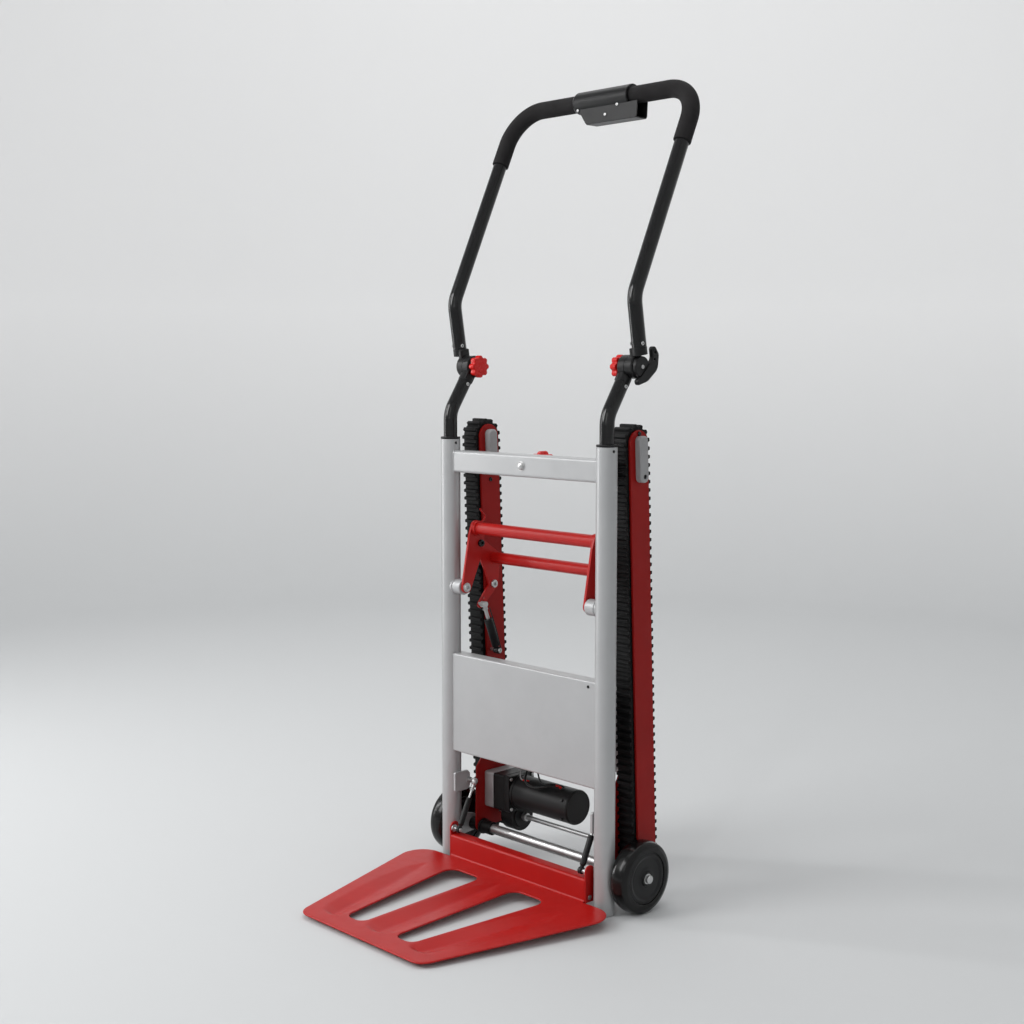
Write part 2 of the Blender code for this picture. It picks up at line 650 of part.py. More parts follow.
def make_drive():
    """The motor, its square gearbox with a lobe round the drive shaft, the spacer block and the shaft."""
    motor_axis = at(105, 162)
    profile = [(0, 0), (38 * MM, 0), (38 * MM, 172 * MM), (36 * MM, 174.7 * MM), (0, 174.7 * MM)]
    piece("motor", turned(profile, (-114.7 * MM, *motor_axis), (1, 0, 0), 32), MOTOR_BLACK, (0, *motor_axis))
    body = box((-165 * MM, at(65, 0)[0], 120 * MM), (-115 * MM, at(145, 0)[0], 202 * MM))
    lobe = rod(34 * MM, (-160 * MM, *SPROCKET), (-124 * MM, *SPROCKET), 28)
    bore = rod(SHAFT_RADIUS + GAP, (-170 * MM, *SPROCKET), (-110 * MM, *SPROCKET), 16)
    piece("gearbox", cut(union(body, lobe), bore), MOTOR_BLACK, (-140 * MM, *SPROCKET))
    low, high = (-193.7 * MM, at(65, 0)[0], 120 * MM), (-165.3 * MM, at(145, 0)[0], 202 * MM)
    piece("gearbox_spacer", box(low, high), CAST_GREY)
    half, collar = 238 * MM, (-120 * MM, -108 * MM)
    profile = [(0, -half), (SHAFT_RADIUS, -half), (SHAFT_RADIUS, collar[0]), (9 * MM, collar[0]),
               (9 * MM, collar[1]), (SHAFT_RADIUS, collar[1]), (SHAFT_RADIUS, half), (0, half)]
    piece("drive_shaft", turned(profile, (0, *SPROCKET), (1, 0, 0), 14), STEEL, (0, *SPROCKET))


def make_pivot_sleeve(name, side):
    near, far = along_x(side, 160 * MM, 193.7 * MM, AXLE)
    piece(f"pivot_sleeve_{name}", ring(15 * MM, 11.3 * MM, near, far), MOTOR_BLACK, (side * 177 * MM, *AXLE))


def make_battery():
    """A sheet across the two tracks, and the battery and motor controller's case behind it."""
    low, high = (-193.7 * MM, at(84, 0)[0], 270 * MM), (193.7 * MM, at(87, 0)[0], 435 * MM)
    piece("carrier_plate", box(low, high), SILVER)
    corners = [((-150 * MM, at(87, 0)[0] + GAP), 2 * MM), ((150 * MM, at(87, 0)[0] + GAP), 2 * MM),
               ((150 * MM, at(150, 0)[0]), 12 * MM), ((-150 * MM, at(150, 0)[0]), 12 * MM)]
    piece("battery_case", slab(rounded(corners, step=30), 265 * MM, 420 * MM, "Z"), BLACK_PLASTIC)


def smooth_route(points, parts=3):
    """Points on a smooth curve through the route's own points."""
    ends = [points[0] * 2 - points[1], *points, points[-1] * 2 - points[-2]]
    route = []
    for a, b, c, d in zip(ends, ends[1:], ends[2:], ends[3:]):
        for part in range(parts):
            t = part / parts
            route.append(0.5 * (2 * b + (c - a) * t + (2 * a - 5 * b + 4 * c - d) * t ** 2
                                + (3 * b - a - 3 * c + d) * t ** 3))
    return [*route, points[-1]]


def make_cable():
    points = smooth_route([Vector((x * MM, *at(depth, height))) for x, depth, height in CABLE_ROUTE])
    curve = bpy.data.curves.new("motor_lead", "CURVE")
    curve.dimensions = "3D"
    curve.bevel_depth = CABLE_RADIUS
    curve.bevel_resolution = 2
    curve.use_fill_caps = True
    spline = curve.splines.new("POLY")
    spline.points.add(len(points) - 1)
    for spot, point in zip(spline.points, points):
        spot.co = (*point, 1)
    curve.materials.append(CABLE_BLACK)
    lead = bpy.data.objects.new("motor_lead", curve)
    bpy.context.scene.collection.objects.link(lead)


# ---------------------------------------------------------------- toggle linkage and gas spring

def make_arm_frame():
    """Two arms from the post bosses to the knees, with the upper bar between them."""
    bar = at(31, 757)
    shape = rod(13.5 * MM, (-185 * MM, *bar), (185 * MM, *bar), 20)
    for _, side in SIDES:
        corners = [(at(-14, 620), 12 * MM), (at(8, 612), 12 * MM), (at(55, 718), 11 * MM),
                   (at(50, 768), 14 * MM), (at(21, 778), 14 * MM), (at(9, 745), 20 * MM)]
        arm = slab(rounded(corners), *x_range(side, ARM_X))
        pivot = rod(5 * MM, *along_x(side, 184 * MM, 186.7 * MM, ARM_PIVOT), sides=16)
        head = rod(9 * MM, *along_x(side, 176 * MM, 182 * MM, ARM_PIVOT), sides=16)
        knee = rod(8 * MM, *along_x(side, 174 * MM, 182 * MM, KNEE), sides=16)
        shape = union(shape, arm, pivot, head, knee)
    piece("toggle_arm_frame", shape, RED, (0, *ARM_PIVOT))


def make_link_frame():
    """Two links from the tracks to the knees, with the lower bar between them and the gas spring's tab."""
    bar = at(90, 686)
    shape = rod(13 * MM, (-192 * MM, *bar), (192 * MM, *bar), 20)
    for _, side in SIDES:
        corners = [(at(78, 612), 13 * MM), (at(101, 616), 13 * MM), (at(109, 694), 14 * MM),
                   (at(87, 709), 14 * MM), (at(46, 737), 12 * MM), (at(28, 722), 12 * MM),
                   (at(62, 660), 20 * MM)]
        link = slab(rounded(corners), *x_range(side, LINK_X))
        shape = union(shape, link)
    tab_corners = [(at(36, 580), 8 * MM), (at(50, 575), 8 * MM), (at(92, 612), 6 * MM),
                   (at(84, 640), 6 * MM)]
    tab = slab(rounded(tab_corners), *x_range(-1, (LINK_X[0] + GAP, LINK_X[1] - GAP)))
    pin = rod(4 * MM, (-183.5 * MM, *SPRING_TAB), (-190 * MM, *SPRING_TAB), 12)
    shape = union(shape, tab, pin)
    bores = [rod(6.3 * MM, *along_x(side, 180 * MM, 200 * MM, LINK_PIVOT), sides=16) for _, side in SIDES]
    piece("toggle_link_frame", cut(shape, *bores), RED, (0, *LINK_PIVOT))


def make_gas_spring():
    """A cylinder with an eye on the left track, and its rod with an eye at the link's tab."""
    length = (Vector(SPRING_TAB) - Vector(SPRING_ANCHOR)).length

    def spot(distance):
        return (SPRING_X, *between(SPRING_ANCHOR, SPRING_TAB, distance))

    eye = rod(8 * MM, (SPRING_X - 7 * MM, *SPRING_ANCHOR), (SPRING_X + 7 * MM, *SPRING_ANCHOR), 20)
    neck = rod(5 * MM, spot(4 * MM), spot(14 * MM), 16)
    barrel = rod(9.5 * MM, spot(11 * MM), spot(80 * MM), 16)
    bore = rod(4.5 * MM, spot(16 * MM), spot(85 * MM), 12)
    pin_bore = rod(4.3 * MM, (SPRING_X - 20 * MM, *SPRING_ANCHOR), (SPRING_X + 20 * MM, *SPRING_ANCHOR), 16)
    cylinder = cut(union(eye, neck, barrel), bore, pin_bore)
    piece("gas_spring_cylinder", cylinder, BLACK_PLASTIC, (SPRING_X, *SPRING_ANCHOR))
    piston = rod(4 * MM, spot(42 * MM), spot(length - 5 * MM), 12)
    tip = rod(7 * MM, (SPRING_X - 7 * MM, *SPRING_TAB), (SPRING_X + 7 * MM, *SPRING_TAB), 20)
    piece("gas_spring_rod", union(piston, tip), STEEL, (SPRING_X, *SPRING_TAB))


# ---------------------------------------------------------------- toe plate and its struts

def depth_in(corners):
    """(X, depth, radius) corners in millimetres as rounded() takes them."""
    return [((x * MM, POST_Y + depth * MM), radius * MM) for x, depth, radius in corners]


def groove(side, inset):
    """The outline of a pressed groove: the middle one on side 0, or one beside a slot."""
    front, rear = (138 * side, -410), (183 * side, -225)
    half = 14 - inset
    corners = [(front[0] - half, front[1] + inset), (front[0] + half, front[1] + inset),
               (rear[0] + half, rear[1] - inset), (rear[0] - half, rear[1] - inset)]
    return rounded(depth_in([(x, depth, half - 1) for x, depth in corners]))


def tilt(bm):
    """Raises what lies above the grooves' bottoms towards the rear, as the sheet rises."""
    for vert in bm.verts:
        if vert.co.z > SHEET:
            vert.co.z += (vert.co.y - POST_Y - TOE_FRONT) * TOE_RISE
    return bm


def make_toe_plate():
    """A wide pressed plate with two slots, three grooves, and a rear flange with a lip and two ears."""
    front, rear = TOE_FRONT / MM, TOE_REAR / MM
    half_front, half_rear = TOE_HALF_FRONT / MM, TOE_HALF_REAR / MM
    outline = rounded(depth_in([(-half_front, front, 34), (half_front, front, 34), (half_rear, rear, 50),
                                (-half_rear, rear, 50)]))
    slots = []
    for _, side in SIDES:
        corners = [(side * 50, -404, 20), (side * 101, -404, 22), (side * 147, -79, 24), (side * 50, -79, 24)]
        slots.append(rounded(depth_in(corners)))
    shape = tilt(slab(outline, TOE_LIFT, TOE_LIFT + SHEET, "Z", holes=slots))
    for side in (-1, 0, 1):
        shape = union(shape, tilt(slab(groove(side, 0), 0, TOE_LIFT + SHEET / 2, "Z")))
        shape = cut(shape, tilt(slab(groove(side, 4), SHEET, TOE_LIFT + 2 * SHEET, "Z")))
    lip = (FLANGE_TOP - SHEET) / MM
    foot, fold = (-34.5, 22.4), (-29, 27)
    flange_corners = [(at(*foot), 0), (at(*fold), 6 * MM), (at(-29, FLANGE_TOP / MM), 6 * MM),
                      (at(-2, FLANGE_TOP / MM), 0), (at(-2, lip), 0), (at(-25, lip), 2 * MM),
                      (at(-25, 21.4), 0), (at(-34.5, 21.2), 0)]
    shape = union(shape, slab(rounded(flange_corners, step=30), -EAR_X[1], EAR_X[1]))
    for _, side in SIDES:
        corners = [(at(-29, 22), 0), (at(8, 22), 6 * MM), (at(8, 52), 12 * MM), (at(-6, 99), 12 * MM),
                   (at(-29, 99), 12 * MM)]
        ear = slab(rounded(corners), *x_range(side, EAR_X), holes=[circle(TOE_HINGE, 5.3 * MM, 20)])
        stud = rod(4 * MM, *along_x(side, 181 * MM, 205 * MM, STRUT_FOOT), sides=12)
        shape = union(shape, ear, stud)
    piece("toe_plate", shape, RED, (0, *TOE_HINGE))


def make_strut(name, side):
    """A gas strut: a cylinder with an eye on the toe plate's stud, and a rod that ends at the post's."""
    x = side * STRUT_X
    length = (Vector(STRUT_FOOT) - Vector(STRUT_TOP)).length

    def spot(distance):
        return (x, *between(STRUT_TOP, STRUT_FOOT, distance))

    eye = rod(7.5 * MM, *along_x(side, 182 * MM, 191 * MM, STRUT_TOP))
    piston = rod(3.5 * MM, spot(5 * MM), spot(88 * MM), 12)
    piece(f"strut_rod_{name}", union(eye, piston), STEEL, (x, *STRUT_TOP))
    barrel = rod(6.5 * MM, spot(38 * MM), spot(length - 4 * MM))
    foot = rod(7.5 * MM, *along_x(side, 182 * MM, 191 * MM, STRUT_FOOT))
    bore = rod(4 * MM, spot(30 * MM), spot(length - 12 * MM), 12)
    pin_bore = rod(4.3 * MM, *along_x(side, 170 * MM, 200 * MM, STRUT_FOOT), sides=12)
    cylinder = cut(union(barrel, foot), bore, pin_bore)
    piece(f"strut_cylinder_{name}", cylinder, BLACK_PLASTIC, (x, *STRUT_FOOT))


# ---------------------------------------------------------------- handle

def lean():
    """Unit (Y, Z) vector up the handle's upper legs."""
    return (Vector(TOP_BAR) - Vector(KINK)).normalized()


def handle_path(start):
    """The upper tube's centre line: up one leg from start, across the top and down the other leg."""
    bend = 80 * MM
    left = [((-UPPER_X, *start), 0), ((-UPPER_X, *KINK), 60 * MM), ((-UPPER_X, *TOP_BAR), bend)]
    right = [((-x, y, z), radius) for (x, y, z), radius in reversed(left)]
    return rounded(left + right, closed=False, step=18)


def make_handle():
    start = between(HANDLE_PIVOT, KINK, TUBE_START)
    tube = pipe(handle_path(start), TUBE_RADIUS, TUBE_RADIUS - TUBE_WALL, 14)
    piece("handle_tube_upper", tube, GLOSS_BLACK, (0, *HANDLE_PIVOT))
    foam_end = Vector(TOP_BAR) - lean() * 132 * MM
    corners = [((-UPPER_X, *foam_end), 0), ((-UPPER_X, *TOP_BAR), 80 * MM), ((UPPER_X, *TOP_BAR), 80 * MM),
               ((UPPER_X, *foam_end), 0)]
    foam = pipe(rounded(corners, closed=False, step=18), GRIP_RADIUS, TUBE_RADIUS + GAP, 14)
    piece("handle_grip", foam, FOAM, (0, *HANDLE_PIVOT))


def make_upper_hinge(name, side):
    disc = rod(HUB_RADIUS, *along_x(side, 238.9 * MM, 259 * MM, HANDLE_PIVOT), sides=24)
    hub = hinge_half(disc, side * UPPER_X, KINK, x_range(side, (247 * MM, 258.5 * MM)))
    piece(f"hinge_upper_{name}", cut(hub, hub_bore(side)), BLACK_PLASTIC, (side * UPPER_X, *HANDLE_PIVOT))


def make_control():
    """A clamp sleeve on the grip, a folded bracket under it, and the drive switch on its rear wall."""
    y, z = TOP_BAR
    sleeve = ring(24 * MM, GRIP_RADIUS + GAP, (-73 * MM, y, z), (86 * MM, y, z), 24)
    piece("control_clamp", sleeve, BLACK_PLASTIC, (0, *TOP_BAR))
    wall, low = 2.5 * MM, z - 50 * MM
    front, back = y - 18 * MM, y + 17 * MM
    high = z - 21 * MM
    corners = [((front, high), 0), ((front, low), 4 * MM), ((back, low), 4 * MM), ((back, high), 0),
               ((back - wall, high), 0), ((back - wall, low + wall), 1.5 * MM),
               ((front + wall, low + wall), 1.5 * MM), ((front + wall, high), 0)]
    channel = slab(rounded(corners, step=30), -52 * MM, 112 * MM)
    bore = rod(24 * MM + GAP, (-80 * MM, y, z), (120 * MM, y, z), 48)
    slot = box((-6 * MM, back - 10 * MM, z - 43 * MM), (26 * MM, back + 10 * MM, z - 27 * MM))
    piece("control_bracket", cut(channel, bore, slot), BLACK_PLASTIC, (0, *TOP_BAR))
    low_corner = (-5 * MM, back - 7 * MM, z - 42 * MM)
    high_corner = (25 * MM, back + 3 * MM, z - 28 * MM)
    piece("drive_switch", box(low_corner, high_corner), RED_PLASTIC, (10 * MM, back - 4 * MM, z - 35 * MM))


# ---------------------------------------------------------------- the whole truck

make_crossbar()
make_panel()
make_axle()
make_toe_hinge_rod()
make_crossbar_bolt()
make_centre_knob()
make_lock_lever()
make_drive()
make_battery()
make_cable()
make_arm_frame()
make_link_frame()
make_gas_spring()
make_toe_plate()
make_handle()
make_control()
for side_name, side_sign in SIDES:
    make_post(side_name, side_sign)
    make_lower_handle(side_name, side_sign)
    make_side_knob(side_name, side_sign)
    make_wheel(side_name, side_sign)
    make_inner_plate(side_name, side_sign)
    make_outer_plate(side_name, side_sign)
    make_belt(side_name, side_sign)
    make_pulleys(side_name, side_sign)
    make_tension_caps(side_name, side_sign)
    make_pivot_sleeve(side_name, side_sign)
    make_strut(side_name, side_sign)
    make_upper_hinge(side_name, side_sign)
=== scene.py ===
"""The finished look of a powered hand truck that climbs stairs on two rubber tracks.

Metres, +Z up, in the frame's own axes. +X is the width and the toe plate points to -Y.
"""
import json
import math

import bmesh
import bpy
import numpy as np
from mathutils import Matrix, Quaternion, Vector
from mathutils.geometry import delaunay_2d_cdt, tessellate_polygon


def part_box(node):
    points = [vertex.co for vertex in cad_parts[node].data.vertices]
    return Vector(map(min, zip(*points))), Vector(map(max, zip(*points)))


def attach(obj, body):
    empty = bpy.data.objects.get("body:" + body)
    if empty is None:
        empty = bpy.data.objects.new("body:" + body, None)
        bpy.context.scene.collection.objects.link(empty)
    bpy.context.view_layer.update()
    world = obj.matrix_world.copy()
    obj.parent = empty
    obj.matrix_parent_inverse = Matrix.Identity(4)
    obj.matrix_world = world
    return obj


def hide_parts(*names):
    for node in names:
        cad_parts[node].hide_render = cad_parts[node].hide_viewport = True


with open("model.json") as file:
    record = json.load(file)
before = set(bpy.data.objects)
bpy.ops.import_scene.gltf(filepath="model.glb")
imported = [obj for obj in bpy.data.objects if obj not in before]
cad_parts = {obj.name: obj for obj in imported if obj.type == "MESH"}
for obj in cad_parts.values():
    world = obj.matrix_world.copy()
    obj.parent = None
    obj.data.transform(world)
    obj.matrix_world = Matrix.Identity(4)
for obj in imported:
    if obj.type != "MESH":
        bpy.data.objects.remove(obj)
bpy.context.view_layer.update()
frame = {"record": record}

MM = 0.001
GAP = 0.3 * MM
SIDES = (("left", -1), ("right", 1))
RECORD = frame["record"]
BODY_OF = {node: body for body, nodes in RECORD["behaviour"]["bodies"].items() for node in nodes}
SLOT_OF = {part["node"]: part["material_slot"] for part in RECORD["subparts"]}
PIVOT = {joint["name"]: joint.get("pos_m") for joint in RECORD["behaviour"]["joints"]}


def centre_of(node):
    low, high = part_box(node)
    return (low + high) / 2


def pivot_of(joint):
    """(Y, Z) of a joint's axis along X."""
    return tuple(PIVOT[joint][1:])


POST_X, POST_Y = centre_of("post_collar_right")[:2]


def at(depth, height):
    """(Y, Z) of a point given in millimetres behind the posts' plane and above the floor."""
    return (POST_Y + depth * MM, height * MM)


AXLE = pivot_of("wheel_left_spin")
TOE_HINGE = pivot_of("toe_fold")
STRUT_FOOT = pivot_of("strut_left_swing")
STRUT_TOP = at(27, 186)
ARM_PIVOT = pivot_of("arm_fold")
LINK_PIVOT = pivot_of("link_fold")
SPRING_ANCHOR = pivot_of("spring_swing")
IDLER = pivot_of("idler_left_spin")
SPROCKET = pivot_of("drive_spin")
HANDLE_PIVOT = pivot_of("handle_fold")
KNEE = at(41.5, 723)
SPRING_TAB = at(45.5, 586.2)
KINK = at(41.2, 1251)
TOP_BAR = at(237.2, 1681)

POST_RADIUS, POST_WALL = 21.5 * MM, 2 * MM
POST_FOOT, POST_TOP = 0.5 * MM, 953 * MM
PANEL_BOTTOM, PANEL_TOP = (corner.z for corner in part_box("backrest_panel"))
CROSSBAR_BOTTOM, CROSSBAR_TOP = (corner.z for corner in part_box("top_crossbar"))
CROSSBAR_MIDDLE = (CROSSBAR_BOTTOM + CROSSBAR_TOP) / 2
WHEEL_BORE = 8.3 * MM
WHEEL_X = (255 * MM, 297 * MM)
INNER_PLATE_X, BELT_X, OUTER_PLATE_X = (194 * MM, 199 * MM), (200 * MM, 240 * MM), (241 * MM, 246 * MM)
PLATE_HALF_WIDTH = 27.5 * MM
BELT_INNER_RADIUS, BELT_OUTER_RADIUS = 27.5 * MM, 34 * MM
LUG_HEIGHT, LUG_PITCH = 5.5 * MM, 17 * MM
SHAFT_RADIUS = 5.5 * MM
ARM_X, LINK_X, SPRING_X = (180 * MM, 186 * MM), (187 * MM, 193 * MM), -174 * MM
STRUT_X = 186 * MM
SHEET, TOE_TOP, TOE_RISE, FLANGE_TOP = 4 * MM, 12 * MM, 0.0305, 72.5 * MM
TOE_FRONT = -457 * MM
EAR_X = (203.5 * MM, 207.5 * MM)
TUBE_RADIUS, TUBE_WALL, GRIP_RADIUS = 15 * MM, 1.8 * MM, 18.5 * MM
UPPER_X, HUB_RADIUS, TUBE_START = 264 * MM, 24 * MM, 40 * MM
CABLE_RADIUS = 2.5 * MM
CABLE_ROUTE = ((-72, 100, 264.6), (-72, 99, 256), (-73, 92, 240), (-73, 80, 218), (-66, 68, 204),
               (-50, 63, 197), (-28, 64, 196), (-8, 70, 201), (8, 78, 204.5), (18, 88, 203.4))

# ---------------------------------------------------------------- camera

camera = bpy.data.objects.new("camera", bpy.data.cameras.new("camera"))
camera.location = (2.21228, -2.08338, 1.11604)
camera.rotation_euler = (math.radians(84.329), 0, math.radians(45.887))
camera.data.lens = 52.30
camera.data.sensor_width = 36
bpy.context.scene.collection.objects.link(camera)
bpy.context.scene.camera = camera


# ---------------------------------------------------------------- finishes

def finish(name, colour, roughness, metallic=0.0, coat=0.0, grain=(1.2, 0.02), mottle=0.06, uneven=0.05,
           cells=False, stretch=(1, 1, 1), specular=0.5):
    """A material with a fine grain of (size, depth) in millimetres, and uneven colour and gloss."""
    made = bpy.data.materials.new(name + "_look")
    made.use_nodes = True
    tree = made.node_tree
    shader = tree.nodes["Principled BSDF"]
    shader.inputs["Metallic"].default_value = metallic
    shader.inputs["Coat Weight"].default_value = coat
    shader.inputs["Coat Roughness"].default_value = 0.06
    shader.inputs["Specular IOR Level"].default_value = specular
    made.diffuse_color = (*colour, 1)

    def node(kind, **values):
        new = tree.nodes.new(kind)
        for key, value in values.items():
            new.inputs[key].default_value = value
        return new

    place = tree.nodes.new("ShaderNodeTexCoord")
    scaled = node("ShaderNodeMapping", Scale=stretch)
    tree.links.new(place.outputs["Object"], scaled.inputs["Vector"])

    patches = node("ShaderNodeTexNoise", Scale=14, Detail=5, Roughness=0.6)
    tree.links.new(place.outputs["Object"], patches.inputs["Vector"])
    tint = tree.nodes.new("ShaderNodeValToRGB")
    tint.color_ramp.elements[0].position = 0.32
    tint.color_ramp.elements[0].color = (*[c * (1 - mottle) for c in colour], 1)
    tint.color_ramp.elements[1].position = 0.68
    tint.color_ramp.elements[1].color = (*[min(1, c * (1 + mottle)) for c in colour], 1)
    tree.links.new(patches.outputs["Fac"], tint.inputs["Fac"])
    tree.links.new(tint.outputs["Color"], shader.inputs["Base Color"])

    smears = node("ShaderNodeTexNoise", Scale=45, Detail=4, Roughness=0.6)
    tree.links.new(scaled.outputs["Vector"], smears.inputs["Vector"])
    gloss = node("ShaderNodeMapRange", **{"From Min": 0.3, "From Max": 0.7,
                                          "To Min": max(0.03, roughness - uneven),
                                          "To Max": roughness + uneven})
    tree.links.new(smears.outputs["Fac"], gloss.inputs["Value"])
    tree.links.new(gloss.outputs["Result"], shader.inputs["Roughness"])

    size, depth = grain
    if cells:
        texture = node("ShaderNodeTexVoronoi", Scale=1000 / size)
        height = texture.outputs["Distance"]
    else:
        texture = node("ShaderNodeTexNoise", Scale=1000 / size, Detail=3)
        height = texture.outputs["Fac"]
    tree.links.new(scaled.outputs["Vector"], texture.inputs["Vector"])
    bump = node("ShaderNodeBump", Strength=0.6, Distance=depth * MM)
    tree.links.new(height, bump.inputs["Height"])
    tree.links.new(bump.outputs["Normal"], shader.inputs["Normal"])
    return made


FINISH = {
    "silver_paint": finish("silver_paint", (0.43, 0.435, 0.44), 0.36, 0.3, grain=(1.6, 0.03), mottle=0.025),
    "red_paint": finish("red_paint", (0.40, 0.0065, 0.005), 0.34, grain=(1.5, 0.05), mottle=0.06,
                        specular=0.3),
    # dark_red_paint is the red paint made darker and less glossy. This is painted shade: the parts in this
    # slot have the same paint as red_paint.
    "dark_red_paint": finish("dark_red_paint", (0.27, 0.007, 0.006), 0.4, grain=(1.5, 0.04), mottle=0.06,
                             specular=0.16),
    "gloss_black_paint": finish("gloss_black_paint", (0.0045, 0.0045, 0.0048), 0.16, coat=0.12,
                                grain=(3.0, 0.02), mottle=0.15, uneven=0.03, specular=0.35),
    "black_plastic": finish("black_plastic", (0.0075, 0.0075, 0.008), 0.34, grain=(0.9, 0.03), mottle=0.12,
                            cells=True, specular=0.28),
    "red_plastic": finish("red_plastic", (0.56, 0.0065, 0.005), 0.27, grain=(1.4, 0.06), mottle=0.07,
                          specular=0.35),
    "belt_rubber": finish("belt_rubber", (0.006, 0.006, 0.0063), 0.62, grain=(0.8, 0.08), mottle=0.25,
                          specular=0.2),
    "tyre_rubber": finish("tyre_rubber", (0.0042, 0.004, 0.004), 0.2, grain=(1.6, 0.01), mottle=0.08,
                          uneven=0.03, specular=0.28),
    "grip_foam": finish("grip_foam", (0.015, 0.014, 0.0145), 0.85, grain=(0.9, 0.22), mottle=0.18,
                        cells=True,
                        specular=0.2),
    "bright_steel": finish("bright_steel", (0.56, 0.56, 0.56), 0.33, 0.9, grain=(0.8, 0.01), mottle=0.03,
                           uneven=0.03),
    "grey_plastic": finish("grey_plastic", (0.30, 0.30, 0.305), 0.42, grain=(1.0, 0.03), mottle=0.05,
                           cells=True),
    "motor_black": finish("motor_black", (0.009, 0.0088, 0.009), 0.4, 0.1, grain=(1.1, 0.05), mottle=0.2,
                          specular=0.25),
    "cast_grey": finish("cast_grey", (0.40, 0.40, 0.405), 0.48, 0.5, grain=(1.4, 0.12), mottle=0.08),
    "cable_black": finish("cable_black", (0.008, 0.008, 0.008), 0.42, grain=(1.0, 0.03), mottle=0.15,
                          specular=0.25),
}


# ---------------------------------------------------------------- shapes

def rounded(corners, closed=True, step=9):
    """Points through corners ((x, y, ...), radius), with an arc of that radius in place of each corner."""
    path = []
    for index, (point, radius) in enumerate(corners):
        corner = Vector(point).to_3d()
        is_end = not closed and index in (0, len(corners) - 1)
        if is_end or radius == 0:
            path.append(corner)
            continue
        back = (Vector(corners[index - 1][0]).to_3d() - corner).normalized()
        ahead = (Vector(corners[(index + 1) % len(corners)][0]).to_3d() - corner).normalized()
        half = back.angle(ahead) / 2
        centre = corner + (back + ahead).normalized() * (radius / math.sin(half))
        spoke = corner + back * (radius / math.tan(half)) - centre
        turn = math.pi - 2 * half
        pieces = max(1, round(math.degrees(turn) / step))
        for piece in range(pieces + 1):
            path.append(centre + Quaternion(back.cross(spoke), turn * piece / pieces) @ spoke)
    return [point for index, point in enumerate(path) if (point - path[index - 1]).length > 0.01 * MM]


def circle(centre, radius, count=40):
    """A circle as 2D points."""
    turns = [2 * math.pi * index / count for index in range(count)]
    return [Vector((centre[0] + radius * math.cos(t), centre[1] + radius * math.sin(t), 0)) for t in turns]


def inset(loop, amount):
    """A closed 2D loop moved inwards by an amount, or outwards by a negative one."""
    area = sum(a.x * b.y - b.x * a.y for a, b in zip(loop, loop[1:] + loop[:1]))
    sign = 1 if area > 0 else -1
    moved = []
    for index, point in enumerate(loop):
        before = (point - loop[index - 1]).normalized()
        after = (loop[(index + 1) % len(loop)] - point).normalized()
        along = (before + after).normalized()
        square = Vector((-along.y, along.x, 0)) * sign
        moved.append(point + square * amount / max(0.5, along.dot(after)))
    return moved


def densify(loop, longest):
    """A closed loop with extra points on its long edges."""
    path = []
    for index, point in enumerate(loop):
        ahead = loop[(index + 1) % len(loop)]
        pieces = max(1, math.ceil((ahead - point).length / longest))
        path += [point.lerp(ahead, piece / pieces) for piece in range(pieces)]
    return path


def placer(axis):
    return {
        "X": lambda p, depth: (depth, p.x, p.y),
        "Y": lambda p, depth: (p.x, depth, p.y),
        "Z": lambda p, depth: (p.x, p.y, depth),
    }[axis]


def slab(outline, low, high, axis="X", holes=(), edge=0.6 * MM):
    """A plate between low and high along axis, with a 2D outline and 2D holes and softened edges."""
    low, high = sorted((low, high))
    place = placer(axis)
    soft = ((0, edge), (0.3 * edge, 0.3 * edge), (edge, 0))
    layers = ([(low + rise, pull) for rise, pull in soft]
              + [(high - rise, pull) for rise, pull in reversed(soft)])
    bm = bmesh.new()
    loops = [outline, *holes]
    faces = ([], [])
    for number, loop in enumerate(loops):
        way = 1 if number == 0 else -1
        rows = []
        for depth, pull in layers:
            moved = inset(loop, way * pull)
            rows.append([bm.verts.new(place(point, depth)) for point in moved])
            if depth in (low, high):
                faces[depth == high].append((moved, rows[-1]))
        for one, two in zip(rows, rows[1:]):
            for index in range(len(loop)):
                after = (index + 1) % len(loop)
                bm.faces.new((one[index], one[after], two[after], two[index]))
    for side in faces:
        verts = [vert for _, row in side for vert in row]
        for triangle in tessellate_polygon([moved for moved, _ in side]):
            bm.faces.new([verts[index] for index in triangle])
    return bm


def box(low, high, edge=0.8 * MM):
    """A box between two corners, with softened edges."""
    corners = [((low[0], low[1]), edge), ((high[0], low[1]), edge), ((high[0], high[1]), edge),
               ((low[0], high[1]), edge)]
    return slab(rounded(corners, step=30), low[2], high[2], "Z", edge=edge)


def turned(profile, point, axis, sides=48, ring=False, hexed=()):
    """A turned solid about axis through point, from (radius, distance along axis) points.

    A solid profile starts and ends on the axis. A ring profile is a closed loop off the axis. Rows whose
    number is in hexed have six flats.
    """
    turn = Vector((0, 0, 1)).rotation_difference(Vector(axis))
    place = Matrix.Translation(point) @ turn.to_matrix().to_4x4()
    bm = bmesh.new()
    rows = []
    for number, (radius, distance) in enumerate(profile):
        count = 1 if radius < 1e-9 else sides
        row = []
        for index in range(count):
            t = 2 * math.pi * index / sides
            reach = radius
            if number in hexed:
                reach *= math.cos(math.pi / 6) / math.cos(t % (math.pi / 3) - math.pi / 6)
            row.append(bm.verts.new(place @ Vector((reach * math.cos(t), reach * math.sin(t), distance))))
        rows.append(row)
    pairs = list(zip(rows, rows[1:]))
    if ring:
        pairs.append((rows[-1], rows[0]))
    for one, two in pairs:
        for index in range(sides):
            after = (index + 1) % sides
            corners = [one[index % len(one)], one[after % len(one)]]
            corners += [two[after % len(two)], two[index % len(two)]]
            if len(set(corners)) > 2:
                bm.faces.new(list(dict.fromkeys(corners)))
    return bm


